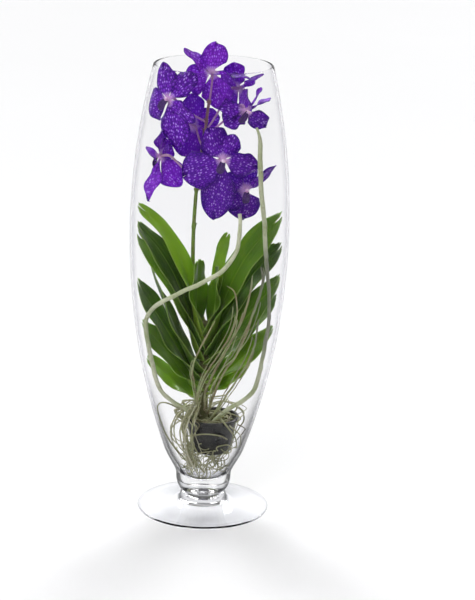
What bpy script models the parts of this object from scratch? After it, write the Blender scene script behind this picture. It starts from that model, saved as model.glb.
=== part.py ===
"""A blue Vanda orchid standing bare-rooted in a tall footed glass vase.

Metres, +Z up. The origin is on the vase's axis, in the plane that the foot stands on. -Y is the front.
"""

import math

import bmesh
import bpy
from mathutils import Matrix, Vector

# ---------------------------------------------------------------- vase
VASE_HEIGHT = 0.600
RIM_RADIUS = 0.0767
BELLY_RADIUS = 0.1037
BELLY_HEIGHT = 0.385
BOWL_BASE_RADIUS = 0.0380  # outside, where the bowl's side starts
BOWL_BASE_HEIGHT = 0.043
SHOULDER_POWER = 1.95  # how the side draws in from the belly up to the rim
TAPER_POWER = 2.1  # how it draws in from the belly down to the base
WALL = 0.003
BASE_WALL = 0.006  # the wall at the inner floor, thinning upwards
WALL_THINS_OVER = 0.110
FLOOR_HEIGHT = 0.040  # the inside of the bowl's bottom
FLOOR_ROUNDING = 0.014
NECK_RADIUS = 0.0205
NECK_HEIGHT = 0.0175
KNOP_RADIUS = 0.0270
KNOP_HEIGHT = 0.0125
FOOT_RADIUS = 0.0877
FOOT_EDGE = 0.0030
FOOT_RISE = 0.0085  # the foot's top face where it meets the knop
FOOT_RING = 0.009  # width of the flat ring that the vase stands on
FOOT_HOLLOW = 0.0015  # how far the underside is drawn up inside that ring
VASE_SIDES = 40

# ---------------------------------------------------------------- pot, stem and root mass
POT_CENTRE = Vector((0.0095, -0.002, 0.0))
ROOT_CUSHION = 0.042  # depth of roots under the pot
POT_FLOOR_HEIGHT = FLOOR_HEIGHT + ROOT_CUSHION
POT_HEIGHT = 0.047
POT_TOP_RADIUS = 0.0340
POT_BOTTOM_RADIUS = 0.0265
POT_WALL = 0.0012
POT_LIP = 0.0022  # how far the rim stands out
POT_LIP_HEIGHT = 0.006
DRAIN_RADIUS = 0.0035
DRAIN_COUNT = 4
POT_SIDES = 24

STEM_X = -0.003
STEM_RADIUS = 0.0072
STEM_TOP_RADIUS = 0.0050
STEM_TOP = 0.258

SEAT_GAP = 0.0003  # between two pieces that rest on or grow from each other
GLASS_GAP = 0.0015  # between the glass and whatever leans on it
ROOTS_BELOW_RIM = 0.009  # the pot's rim stands this far out of the root mass
ROOT_MASS_TOP = POT_FLOOR_HEIGHT + POT_HEIGHT - ROOTS_BELOW_RIM
ROOT_MASS_GLASS_GAP = 0.0016

# ---------------------------------------------------------------- leaves
LEAF_THICKNESS = 0.0018
SHEATH_STEP = 0.004  # how far each leaf stands out past the base of the next one up
CLASP = 1.35  # half the width of a leaf's base over the stem's radius
LEAF_BASE_FOLD = 0.75  # depth of the channel over the half width, at the stem
LEAF_TIP_FOLD = 0.16
LEAVES_DRAWN_BELLY = 0.1037  # the bowl's radius that the leaves' tip heights and widths are for

# name, base azimuth, tip azimuth, base height, tip height, reach over the inner radius, width, bow, roll
LEAVES = (
    ("leaf_left_1", 180, 189, 0.234, 0.418, 0.97, 0.027, 0.34, 46),
    ("leaf_left_2", 182, 193, 0.220, 0.397, 0.98, 0.035, 0.23, 44),
    ("leaf_left_3", 177, 172, 0.2065, 0.374, 0.98, 0.030, 0.245, 24),
    ("leaf_left_4", 192, 219, 0.190, 0.346, 0.91, 0.037, -0.02, 30),
    ("leaf_left_5", 178, 188, 0.178, 0.318, 0.96, 0.037, 0.04, 38),
    ("leaf_left_6", 182, 193, 0.164, 0.262, 0.94, 0.035, 0.06, 38),
    ("leaf_left_7", 177, 188, 0.150, 0.212, 0.92, 0.028, 0.04, 38),
    ("leaf_right_1", 4, 32, 0.2425, 0.377, 0.25, 0.0155, 0.40, 60),
    ("leaf_right_2", -3, -13, 0.228, 0.410, 0.98, 0.043, 0.24, 50),
    ("leaf_right_3", 3, 6, 0.214, 0.366, 0.98, 0.036, 0.20, 38),
    ("leaf_right_4", -3, -10, 0.200, 0.330, 0.98, 0.038, 0.06, 46),
    ("leaf_right_5", 3, 8, 0.186, 0.298, 0.96, 0.034, 0.08, 34),
    ("leaf_right_6", -3, -7, 0.172, 0.258, 0.96, 0.034, 0.00, 38),
    ("leaf_right_7", 2, -4, 0.158, 0.205, 0.66, 0.026, 0.10, 42),
)

# ---------------------------------------------------------------- flower spike and flowers
SPIKE_RADIUS = 0.0027
SPIKE_TIP_RADIUS = 0.0016
SPIKE_AZIMUTH = 88  # where it leaves the stem
SPIKE_HEIGHT = 0.250
SPIKE_POINTS_MM = (
    (-9, 16, 266),
    (-15, 20, 290),
    (-20, 17, 320),
    (-21, 10, 370),
    (-19, 2, 425),
    (-16, 1, 460),
    (-11, 2, 495),
    (-8, 0, 522),
    (-6, -7, 543),
    (-4, -13, 556),
)
STALK_RADIUS = 0.0014
STALK_LEAVE = 0.016  # how far a stalk runs straight out of the back of its flower

TEPAL_THICKNESS = 0.0011
CLAW = 0.42  # the narrow base of a tepal over what its outline would give
HUB_RADIUS = 0.0036
HUB_DEPTH = 0.0022  # of the disc that joins the sepals, and of the one that joins the petals
SEPAL_SWEEP = -0.13  # sepals lean back
PETAL_SWEEP = 0.05  # petals lean forward
SEPAL_PITCH = 8.0  # each tepal is turned a little, so that neighbours pass over each other
PETAL_PITCH = 4.0
REFLEX = 0.10  # how far a tip bends back, over the tepal's length
CUPPING = 0.25  # how far the sides bend back, over the width
DORSAL_WIDTH = 0.034
PETAL_WIDTH = 0.035
LATERAL_WIDTH = 0.042
COLUMN_RADIUS = 0.0024
COLUMN_LENGTH = 0.0065
LIP_LENGTH = 0.019
LIP_WIDTH = 0.010
LIP_THICKNESS = 0.0014

# hub in mm; the way it faces: azimuth from the front towards +X, and elevation; dorsal sepal, two petals and
# two lateral sepals, each (angle round the face from its right-hand side, length in mm); the lip's angle;
# the height where its stalk leaves the spike
FLOWERS = (
    dict(name="top", hub=(-2, -6, 590), faces=(182, 26), dorsal=(102, 40), petals=((40, 46), (190, 49)),
         laterals=((-12, 38), (253, 50)), lip=310, joins=0.553),
    dict(name="left", hub=(-56, -34, 559), faces=(-28, 6), dorsal=(50, 46), petals=((106, 48), (-31, 46)),
         laterals=((198, 40), (-76, 62)), lip=232, joins=0.525),
    dict(name="low_left", hub=(-66, -14, 482), faces=(-122, -6), dorsal=(84, 38), petals=((160, 30), (20, 38)),
         laterals=((244, 50), (-62, 56)), lip=270, joins=0.452),
    dict(name="centre", hub=(15, -50, 486), faces=(2, -4), dorsal=(62, 34), petals=((204, 54), (-12, 46)),
         laterals=((-97, 76), (126, 36)), lip=250, joins=0.462),
    dict(name="low_right", hub=(45, -16, 441), faces=(14, -6), dorsal=(86, 36), petals=((38, 50), (150, 38)),
         laterals=((-84, 44), (-146, 38)), lip=265, joins=0.436),
    dict(name="right", hub=(42, -28, 546), faces=(28, -14), dorsal=(30, 36), petals=((104, 34), (-35, 40)),
         laterals=((-138, 32), (176, 34)), lip=225, joins=0.508),
    dict(name="high_right", hub=(34, 22, 566), faces=(128, 6), dorsal=(94, 36), petals=((168, 44), (20, 40)),
         laterals=((222, 42), (-42, 42)), lip=270, joins=0.512),
    dict(name="back", hub=(-26, 24, 516), faces=(196, -4), dorsal=(88, 42), petals=((166, 38), (14, 42)),
         laterals=((224, 46), (-66, 42)), lip=270, joins=0.492),
)

# ---------------------------------------------------------------- long roots
# radius in mm, azimuth and height (mm) where it leaves the stem, then the points that it passes in mm
ROOTS = (
    ("root_long_right", 3.0, -20, 114, ((14, -8, 124), (26, -14, 138), (36, -20, 148), (50, -24, 158),
                                        (66, -28, 176), (73, -30, 200), (78, -34, 236), (84, -38, 268),
                                        (82, -44, 300), (76, -50, 340), (73, -56, 372), (70, -60, 410),
                                        (65, -62, 450), (63, -62, 490), (62, -58, 515), (56, -54, 530))),
    ("root_across", 2.8, -150, 124, ((-24, -16, 140), (-46, -28, 158), (-62, -36, 178), (-74, -40, 204),
                                     (-84, -40, 240), (-88, -44, 266), (-80, -58, 286), (-54, -68, 306),
                                     (-28, -70, 320), (-2, -68, 333), (18, -62, 345), (34, -54, 366),
                                     (38, -46, 384), (39, -42, 404), (38, -38, 414))),
    ("root_bundle_1", 1.5, -52, 134, ((10, -22, 160), (22, -34, 196), (40, -42, 228), (52, -48, 262),
                                      (62, -52, 296), (70, -54, 330), (67, -60, 350))),
    ("root_bundle_2", 1.2, -76, 139, ((0, -26, 168), (12, -40, 204), (28, -48, 238), (44, -54, 276),
                                      (54, -60, 316), (56, -66, 340))),
    ("root_bundle_3", 1.0, -108, 130, ((-10, -26, 160), (-2, -42, 196), (14, -50, 226), (32, -58, 262),
                                       (38, -60, 290), (34, -60, 316), (24, -60, 324))),
    ("root_bundle_4", 1.3, -40, 124, ((20, -18, 148), (34, -30, 178), (52, -36, 210), (62, -42, 240),
                                      (66, -46, 276))),
    ("root_front", 1.0, -126, 138, ((-14, -32, 176), (-17, -52, 212), (-6, -64, 246), (10, -65, 278))),
)
ROOT_SAMPLE = 0.011  # distance between the rings of a root's tube
ROOTS_DRAWN_RIM = 0.129  # the pot's rim that the roots' heights are for
ROOTS_FREE_HEIGHT = 0.200  # above this a root no longer follows the rim
ROOT_LEAVE = 0.004  # how far a root runs straight out of the stem


# ================================================================ shared helpers
def clear_scene():
    for obj in list(bpy.data.objects):
        bpy.data.objects.remove(obj)


def make_collection(name):
    collection = bpy.data.collections.new(name)
    bpy.context.scene.collection.children.link(collection)
    return collection


def make_material(name, colour, roughness, transmission=0.0):
    material = bpy.data.materials.new(name)
    material.use_nodes = True
    shader = material.node_tree.nodes["Principled BSDF"]
    shader.inputs["Base Color"].default_value = (*colour, 1)
    shader.inputs["Roughness"].default_value = roughness
    shader.inputs["Transmission Weight"].default_value = transmission
    return material


def add_object(name, data, collection, material):
    obj = bpy.data.objects.new(name, data)
    data.materials.append(material)
    collection.objects.link(obj)
    return obj


def mesh_from(bm, name):
    mesh = bpy.data.meshes.new(name)
    bm.to_mesh(mesh)
    bm.free()
    return mesh


def from_mm(point):
    return Vector(point) / 1000


def direction(azimuth):
    """Unit vector in the ground plane, azimuth in degrees from +X towards +Y."""
    angle = math.radians(azimuth)
    return Vector((math.cos(angle), math.sin(angle), 0))


def mix(a, b, share):
    return a + (b - a) * share


def smooth_step(low, high, value):
    share = min(1.0, max(0.0, (value - low) / (high - low)))
    return share * share * (3 - 2 * share)


def smooth_path(points, spacing):
    """Points along a Catmull-Rom curve through the given ones, about `spacing` apart."""
    ends = [points[0] * 2 - points[1], *points, points[-1] * 2 - points[-2]]
    path = []
    for before, start, stop, after in zip(ends, ends[1:], ends[2:], ends[3:]):
        steps = max(1, round((stop - start).length / spacing))
        for i in range(steps):
            t = i / steps
            path.append(0.5 * (2 * start + (stop - before) * t
                               + (2 * before - 5 * start + 4 * stop - after) * t * t
                               + (3 * start - before - 3 * stop + after) * t ** 3))
    return path + [points[-1]]


def tube(name, path, radii, collection, material, bevel_resolution=1):
    """A round tube along the path, with one radius for each point and filled caps."""
    curve = bpy.data.curves.new(name, "CURVE")
    curve.dimensions = "3D"
    curve.bevel_depth = 1.0
    curve.bevel_resolution = bevel_resolution
    curve.use_fill_caps = True
    spline = curve.splines.new("POLY")
    spline.points.add(len(path) - 1)
    for point, place, radius in zip(spline.points, path, radii):
        point.co = (*place, 1)
        point.radius = radius
    return add_object(name, curve, collection, material)


def turned(name, profile, sides, collection, material):
    """A solid of revolution about Z. The profile is (radius, height) and runs down its outer side."""
    bm = bmesh.new()
    corners = [bm.verts.new((radius, 0, height)) for radius, height in profile]
    for first, second in zip(corners, corners[1:]):
        bm.edges.new((first, second))
    obj = add_object(name, mesh_from(bm, name), collection, material)
    screw = obj.modifiers.new("turn", "SCREW")
    screw.axis = "Z"
    screw.steps = screw.render_steps = sides
    screw.use_merge_vertices = True
    screw.merge_threshold = 0.00005
    return obj


def sheet(name, surface, along, across, thickness, collection, material, start=0.0, stop=1.0):
    """A thin curved sheet: surface(u, v) with u from start to stop and v from -1 to 1, given its thickness."""
    bm = bmesh.new()
    bmesh.ops.create_grid(bm, x_segments=along, y_segments=across, size=1)
    for vert in bm.verts:
        vert.co = surface(mix(start, stop, (vert.co.x + 1) / 2), vert.co.y)
    obj = add_object(name, mesh_from(bm, name), collection, material)
    solidify = obj.modifiers.new("thickness", "SOLIDIFY")
    solidify.thickness = thickness
    solidify.offset = 0
    return obj


# ================================================================ vase
def outer_radius(height):
    """Outside radius of the bowl."""
    if height > BELLY_HEIGHT:
        share = (height - BELLY_HEIGHT) / (VASE_HEIGHT - BELLY_HEIGHT)
        return BELLY_RADIUS - (BELLY_RADIUS - RIM_RADIUS) * share ** SHOULDER_POWER
    share = (BELLY_HEIGHT - height) / (BELLY_HEIGHT - BOWL_BASE_HEIGHT)
    return BELLY_RADIUS - (BELLY_RADIUS - BOWL_BASE_RADIUS) * share ** TAPER_POWER


def inner_radius(height):
    """Inside radius of the bowl, down to the rounded floor. Above the rim it is the rim's."""
    height = min(height, VASE_HEIGHT)
    thin = min(1.0, max(0.0, (height - FLOOR_HEIGHT) / WALL_THINS_OVER))
    radius = outer_radius(height) - mix(BASE_WALL, WALL, 1 - (1 - thin) ** 2)
    rise = (height - FLOOR_HEIGHT) / FLOOR_ROUNDING
    if rise < 1:
        radius *= math.sqrt(max(0.0, 1 - (1 - max(rise, 0.0)) ** 2))
    return radius


def inside_profile(bottom, top, steps):
    """(radius, height) of the inner wall, closer together on the rounded floor."""
    heights = [FLOOR_HEIGHT + FLOOR_ROUNDING * share for share in (0.04, 0.16, 0.36, 0.64, 1.0)]
    heights = [height for height in heights if bottom < height < top]
    first = heights[-1]
    heights += [mix(first, top, i / steps) for i in range(1, steps + 1)]
    return [(inner_radius(height), height) for height in heights]


def build_vase(collection, glass):
    inside = inside_profile(FLOOR_HEIGHT, VASE_HEIGHT - WALL / 3, 8)
    rim = [(RIM_RADIUS - WALL / 2, VASE_HEIGHT)]
    bowl_low = NECK_HEIGHT + (BOWL_BASE_HEIGHT - NECK_HEIGHT) * 0.35
    side_heights = [mix(VASE_HEIGHT - WALL / 3, bowl_low, i / 9) for i in range(10)]
    outside = [(outer_radius(height), height) for height in side_heights]
    neck = [(mix(NECK_RADIUS, outer_radius(bowl_low), 0.62), mix(NECK_HEIGHT, bowl_low, 0.30)),
            (NECK_RADIUS, NECK_HEIGHT)]
    knop = [(KNOP_RADIUS - 0.0018, mix(KNOP_HEIGHT, NECK_HEIGHT, 0.7)),
            (KNOP_RADIUS, KNOP_HEIGHT),
            (KNOP_RADIUS - 0.0012, mix(KNOP_HEIGHT, FOOT_RISE, 0.8))]
    foot_top = [(mix(KNOP_RADIUS, FOOT_RADIUS, share), FOOT_EDGE + (FOOT_RISE - FOOT_EDGE) * (1 - share) ** 1.7)
                for share in (0.08, 0.3, 0.6, 0.97)]
    edge = [(FOOT_RADIUS, FOOT_EDGE / 2), (FOOT_RADIUS - FOOT_EDGE / 3, 0),
            (FOOT_RADIUS - FOOT_RING, 0)]
    under = [(FOOT_RADIUS * 0.6, FOOT_HOLLOW * 0.8), (0, FOOT_HOLLOW)]
    profile = [(0, FLOOR_HEIGHT), *inside, *rim, *outside, *neck, *knop, *foot_top, *edge, *under]
    vase = turned("glass_vase", profile, VASE_SIDES, collection, glass)
    vase.data.shade_smooth()
    return vase


def keep_inside(point, margin):
    """The point moved in from the glass if it would pass it, as a leaf or petal is that leans on the wall."""
    radius = math.hypot(point.x, point.y)
    limit = inner_radius(point.z) - margin
    free = 0.86 * limit
    if radius <= free:
        return point
    pressed = free + (limit - free) * math.tanh((radius - free) / (limit - free))
    return Vector((point.x * pressed / radius, point.y * pressed / radius, point.z))


# ================================================================ pot, root mass and stem
def pot_radius(height):
    """Outside radius of the pot's wall, below its lip."""
    return mix(POT_BOTTOM_RADIUS, POT_TOP_RADIUS, (height - POT_FLOOR_HEIGHT) / POT_HEIGHT)


def build_pot(collection, cutters, plastic):
    top = POT_FLOOR_HEIGHT + POT_HEIGHT
    lip = top - POT_LIP_HEIGHT
    floor = POT_FLOOR_HEIGHT + POT_WALL
    profile = [(0, floor),
               (pot_radius(floor) - POT_WALL, floor),
               (pot_radius(top) - POT_WALL, top),
               (pot_radius(top) + POT_LIP, top),
               (pot_radius(lip) + POT_LIP, lip),
               (pot_radius(lip), lip),
               (POT_BOTTOM_RADIUS, POT_FLOOR_HEIGHT),
               (0, POT_FLOOR_HEIGHT)]
    pot = turned("plant_pot", profile, POT_SIDES, collection, plastic)
    pot.location = POT_CENTRE
    bm = bmesh.new()
    for i in range(DRAIN_COUNT):
        place = direction(45 + 360 * i / DRAIN_COUNT) * POT_BOTTOM_RADIUS * 0.6
        place.z = POT_FLOOR_HEIGHT
        bmesh.ops.create_cone(bm, cap_ends=True, segments=8, radius1=DRAIN_RADIUS, radius2=DRAIN_RADIUS,
                              depth=POT_WALL * 6, matrix=Matrix.Translation(POT_CENTRE + place))
    cut(pot, add_cutter("drain_cutter", mesh_from(bm, "drain_cutter"), cutters))
    return pot


def add_cutter(name, mesh, cutters):
    obj = bpy.data.objects.new(name, mesh)
    cutters.objects.link(obj)
    hide_cutter(obj)
    return obj


def hide_cutter(obj):
    obj.hide_render = True
    obj.display_type = "WIRE"


def cut(obj, cutter):
    boolean = obj.modifiers.new("cut_" + cutter.name, "BOOLEAN")
    boolean.operation = "DIFFERENCE"
    boolean.object = cutter


def build_root_mass(collection, cutters, root):
    """The outer shape of the tangle of fine roots: it fills the bowl's foot and holds the pot."""
    lowest = FLOOR_HEIGHT + SEAT_GAP
    outline = [(radius - ROOT_MASS_GLASS_GAP, height + SEAT_GAP)
               for radius, height in inside_profile(lowest, ROOT_MASS_TOP, 4)
               if radius > 2 * ROOT_MASS_GLASS_GAP]
    profile = [(0, ROOT_MASS_TOP + SEAT_GAP), *reversed(outline), (0, lowest)]
    mass = turned("root_mass", profile, 28, collection, root)
    top = POT_FLOOR_HEIGHT + POT_HEIGHT + SEAT_GAP
    under_lip = POT_FLOOR_HEIGHT + POT_HEIGHT - POT_LIP_HEIGHT - SEAT_GAP
    room = [(0, top),
            (pot_radius(top) + POT_LIP + SEAT_GAP * 2, top),
            (pot_radius(top) + POT_LIP + SEAT_GAP * 2, under_lip),
            (pot_radius(under_lip) + SEAT_GAP * 2, under_lip),
            (POT_BOTTOM_RADIUS + SEAT_GAP * 2, POT_FLOOR_HEIGHT - SEAT_GAP),
            (0, POT_FLOOR_HEIGHT - SEAT_GAP)]
    cutter = turned("pot_room", room, POT_SIDES, cutters, root)
    cutter.location = POT_CENTRE
    hide_cutter(cutter)
    cut(mass, cutter)
    return mass


def stem_radius(height):
    share = (height - POT_FLOOR_HEIGHT) / (STEM_TOP - POT_FLOOR_HEIGHT)
    return mix(STEM_RADIUS, STEM_TOP_RADIUS, min(1.0, max(0.0, share)) ** 2)


def build_stem(collection, bark):
    bottom = POT_FLOOR_HEIGHT + POT_WALL + SEAT_GAP
    heights = [mix(bottom, STEM_TOP, i / 6) for i in range(7)]
    profile = [(0, STEM_TOP + 0.003),
               *[(stem_radius(height), height) for height in reversed(heights)],
               (0, bottom)]
    stem = turned("stem", profile, 12, collection, bark)
    stem.location.x = STEM_X
    return stem


def on_stem(azimuth, height):
    """Just clear of the stem's side."""
    out = direction(azimuth) * (stem_radius(height) + SEAT_GAP)
    return Vector((STEM_X, 0, height)) + out


# ================================================================ leaves
def leaf_surface(base_azimuth, tip_azimuth, base_height, tip_height, reach, width, bow, roll):
    """The middle surface of one strap leaf, from its clasp round the stem (u 0) to its tip (u 1)."""
    axis = Vector((STEM_X, 0, 0))
    out = direction(base_azimuth)
    seat = stem_radius(base_height) + SEAT_GAP * 3 + LEAF_THICKNESS
    base = axis + out * seat + Vector((0, 0, base_height))
    tip = direction(tip_azimuth) * inner_radius(tip_height) * reach + Vector((0, 0, tip_height))
    run = tip - base
    bend = base + Vector((run.x * (0.42 - bow), run.y * (0.42 - bow), run.z * (0.42 + bow)))
    side_start = direction(base_azimuth + 90)
    side_end = direction(tip_azimuth + 90)
    turn = math.radians(roll) * (-1 if side_start.y > 0 else 1)

    def surface(u, v):
        centre = base * (1 - u) ** 2 + bend * 2 * u * (1 - u) + tip * u * u
        centre += out * SHEATH_STEP * smooth_step(0.0, 0.1, u)
        tangent = ((bend - base) * (1 - u) + (tip - bend) * u).normalized()
        side = side_start.lerp(side_end, u)
        side = (side - tangent * side.dot(tangent)).normalized()
        face = tangent.cross(side)
        rolled = turn * smooth_step(0.0, 0.45, u)
        side, face = (side * math.cos(rolled) - face * math.sin(rolled),
                      face * math.cos(rolled) + side * math.sin(rolled))
        half = leaf_half_width(u, width)
        fold = mix(LEAF_BASE_FOLD, LEAF_TIP_FOLD, smooth_step(0.0, 0.6, u))
        point = centre + side * (v * half) + face * (fold * half * abs(v) ** 1.5)
        return keep_inside(point, GLASS_GAP + LEAF_THICKNESS)

    return surface


def leaf_half_width(u, width):
    """Half the leaf's width: narrow where it clasps the stem, then an even strap with a blunt tip."""
    clasp = min(STEM_RADIUS * CLASP, width * 0.4)
    spread = mix(clasp, width / 2, smooth_step(0.0, 0.36, u))
    return spread * (1 - 0.5 * smooth_step(0.7, 1.0, u))


def build_leaves(collection, material):
    scale = BELLY_RADIUS / LEAVES_DRAWN_BELLY
    for name, base_azimuth, tip_azimuth, base_height, tip_height, reach, width, bow, roll in LEAVES:
        tip_height = mix(base_height, tip_height, scale)
        surface = leaf_surface(base_azimuth, tip_azimuth, base_height, tip_height, reach, width * scale, bow, roll)
        sheet(name, surface, 9, 2, LEAF_THICKNESS, collection, material)


# ================================================================ flowers
def flower_frame(flower):
    """World matrix of a flower: Z out of its face, Y towards the top, origin at its hub."""
    azimuth, elevation = (math.radians(angle) for angle in flower["faces"])
    face = Vector((math.sin(azimuth) * math.cos(elevation), -math.cos(azimuth) * math.cos(elevation),
                   math.sin(elevation)))
    up = (Vector((0, 0, 1)) - face * face.z).normalized()
    right = up.cross(face)
    matrix = Matrix((right, up, face)).transposed().to_4x4()
    matrix.translation = from_mm(flower["hub"])
    return matrix


def tepal_surface(matrix, angle, length, width, layer, sweep, pitch):
    """The middle surface of one sepal or petal, from inside its hub (u 0) to its tip (u 1)."""
    out = direction(angle)
    side = direction(angle + 90)
    tilt = math.radians(pitch)
    start = HUB_RADIUS * 0.3

    def surface(u, v):
        outline = math.sin(math.pi * u ** 1.2) ** 0.72 if u > 0 else 0
        claw = mix(CLAW, 1.0, smooth_step(0.0, 0.36, u))
        half = max(width / 2 * outline * claw, HUB_RADIUS * 0.8 * (1 - u))
        across = v * half
        reach = mix(start, length, u)
        lift = layer + sweep * reach - REFLEX * length * u ** 3 - CUPPING * across * across / width
        lift += across * math.sin(tilt) * smooth_step(0.0, 0.3, u)
        point = out * reach + side * (across * math.cos(tilt)) + Vector((0, 0, lift))
        return keep_inside(matrix @ point, GLASS_GAP + TEPAL_THICKNESS)

    return surface


def disc(name, matrix, layer, radius, depth, collection, material):
    """A short round body across the flower's axis, centred on the layer."""
    bm = bmesh.new()
    bmesh.ops.create_cone(bm, cap_ends=True, segments=10, radius1=radius, radius2=radius, depth=depth,
                          matrix=matrix @ Matrix.Translation((0, 0, layer)))
    return add_object(name, mesh_from(bm, name), collection, material)


def join(obj, other):
    """Makes the other object part of this one."""
    hide_cutter(other)
    boolean = obj.modifiers.new("join_" + other.name, "BOOLEAN")
    boolean.operation = "UNION"
    boolean.object = other


def build_whorl(name, matrix, tepals, layer, sweep, pitch, collection, cutters, material):
    """The sepals or the petals of one flower, joined by the disc that they grow from."""
    hub = disc(name, matrix, layer, HUB_RADIUS, HUB_DEPTH, collection, material)
    for number, (angle, length, width) in enumerate(tepals, 1):
        surface = tepal_surface(matrix, angle, length / 1000, width, layer, sweep, pitch)
        tepal = sheet(f"{name}_{number}", surface, 5, 4, TEPAL_THICKNESS, cutters, material, stop=0.965)
        join(hub, tepal)
    return hub


def lip_surface(matrix, angle, layer):
    """The middle surface of the tongue-shaped lip, which juts forward and bends down."""
    out = direction(angle)
    side = direction(angle + 90)

    def surface(u, v):
        half = LIP_WIDTH / 2 * (0.55 + 0.45 * math.sin(math.pi * u * 0.85))
        across = v * half
        reach = LIP_LENGTH * u * 0.86
        lift = layer + LIP_LENGTH * (0.62 * u - 0.5 * u * u) + 0.5 * across * across / LIP_WIDTH
        return keep_inside(matrix @ (out * reach + side * across + Vector((0, 0, lift))),
                           GLASS_GAP + LIP_THICKNESS)

    return surface


def build_lip(name, matrix, angle, layer, collection, cutters, material):
    """The column in the middle of a flower with the lip below it."""
    column = disc(name, matrix, layer + COLUMN_LENGTH / 2, COLUMN_RADIUS, COLUMN_LENGTH, collection, material)
    lip = sheet(f"{name}_tongue", lip_surface(matrix, angle, layer + LIP_THICKNESS), 4, 2, LIP_THICKNESS,
                cutters, material)
    join(column, lip)
    return column


def build_flowers(collection, cutters, tepal_material, lip_material):
    layer = (HUB_DEPTH + SEAT_GAP) / 2
    for flower in FLOWERS:
        matrix = flower_frame(flower)
        name = "flower_" + flower["name"]
        sepals = [(*flower["dorsal"], DORSAL_WIDTH)] + [(*tepal, LATERAL_WIDTH) for tepal in flower["laterals"]]
        petals = [(*tepal, PETAL_WIDTH) for tepal in flower["petals"]]
        build_whorl(name + "_sepals", matrix, sepals, -layer, SEPAL_SWEEP, SEPAL_PITCH, collection, cutters,
                    tepal_material)
        build_whorl(name + "_petals", matrix, petals, layer, PETAL_SWEEP, PETAL_PITCH, collection, cutters,
                    tepal_material)
        build_lip(name + "_lip", matrix, flower["lip"], HUB_DEPTH + SEAT_GAP * 1.5, collection, cutters,
                  lip_material)


# ================================================================ spike and stalks
def spike_path():
    start = on_stem(SPIKE_AZIMUTH, SPIKE_HEIGHT)
    leave = start + direction(SPIKE_AZIMUTH) * 0.005
    path = smooth_path([start, leave, *map(from_mm, SPIKE_POINTS_MM)], 0.016)
    return [keep_inside(point, GLASS_GAP + SPIKE_RADIUS) for point in path]


def point_at_height(path, height):
    """Where a rising path crosses the height."""
    for low, high in zip(path, path[1:]):
        if low.z <= height <= high.z:
            return low.lerp(high, (height - low.z) / (high.z - low.z))
    return path[-1] if height > path[-1].z else path[0]


def stalk_path(flower, spike):
    """From the back of the flower's hub round to the middle of the spike."""
    matrix = flower_frame(flower)
    start = matrix @ Vector((0, 0, -HUB_DEPTH - SEAT_GAP * 2.5))
    leave = matrix @ Vector((0, 0, -STALK_LEAVE))
    end = point_at_height(spike, flower["joins"])
    return smooth_path([start, leave, leave.lerp(end, 0.55) + Vector((0, 0, -0.003)), end], 0.008)


def as_mesh(obj):
    """The curve object made a mesh with its caps closed."""
    graph = bpy.context.evaluated_depsgraph_get()
    mesh = bpy.data.meshes.new_from_object(obj.evaluated_get(graph))
    bm = bmesh.new()
    bm.from_mesh(mesh)
    bmesh.ops.remove_doubles(bm, verts=bm.verts, dist=0.00002)
    bm.to_mesh(mesh)
    bm.free()
    name, collection = obj.name, obj.users_collection[0]
    bpy.data.objects.remove(obj)
    solid = bpy.data.objects.new(name, mesh)
    collection.objects.link(solid)
    return solid


def build_spike(collection, cutters, material):
    path = spike_path()
    radii = [mix(SPIKE_RADIUS, SPIKE_TIP_RADIUS, i / (len(path) - 1)) for i in range(len(path))]
    spike = as_mesh(tube("flower_spike", path, radii, collection, material))
    for flower in FLOWERS:
        line = stalk_path(flower, path)
        stalk = as_mesh(tube("stalk_" + flower["name"], line, [STALK_RADIUS] * len(line), cutters, material))
        join(spike, stalk)
    return spike


# ================================================================ long roots
def over_rim(point):
    """The point raised or lowered with the pot's rim, the less the higher it is."""
    change = POT_FLOOR_HEIGHT + POT_HEIGHT - ROOTS_DRAWN_RIM
    share = 1 - smooth_step(ROOTS_DRAWN_RIM, ROOTS_FREE_HEIGHT, point.z)
    return point + Vector((0, 0, change * share))


def build_roots(collection, material):
    for name, radius, azimuth, height, points in ROOTS:
        start = on_stem(azimuth, over_rim(from_mm((0, 0, height))).z)
        leave = start + direction(azimuth) * ROOT_LEAVE
        path = smooth_path([start, leave, *[over_rim(from_mm(point)) for point in points]], ROOT_SAMPLE)
        path = [keep_inside(point, GLASS_GAP + radius / 1000) for point in path]
        radii = [radius / 1000] * (len(path) - 1) + [radius / 2000]
        tube(name, path, radii, collection, material)


def main():
    clear_scene()
    orchid = make_collection("orchid_in_vase")
    cutters = make_collection("cutters")
    glass = make_material("clear_glass", (0.93, 0.96, 0.96), 0.02, 1.0)
    plastic = make_material("black_plastic", (0.02, 0.02, 0.022), 0.35)
    root = make_material("silvery_root", (0.52, 0.53, 0.40), 0.7)
    bark = make_material("green_stem", (0.16, 0.20, 0.06), 0.6)
    leaf = make_material("green_leaf", (0.07, 0.20, 0.02), 0.42)
    spike = make_material("green_spike", (0.28, 0.26, 0.12), 0.5)
    tepal = make_material("violet_petal", (0.08, 0.03, 0.38), 0.5)
    lip = make_material("dark_lip", (0.05, 0.01, 0.16), 0.4)
    build_vase(orchid, glass)
    build_pot(orchid, cutters, plastic)
    build_root_mass(orchid, cutters, root)
    build_stem(orchid, bark)
    build_leaves(orchid, leaf)
    build_flowers(orchid, cutters, tepal, lip)
    build_spike(orchid, cutters, spike)
    build_roots(orchid, root)


main()
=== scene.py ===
import math
import random

import bmesh
import bpy
from mathutils import Matrix, Vector


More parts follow.
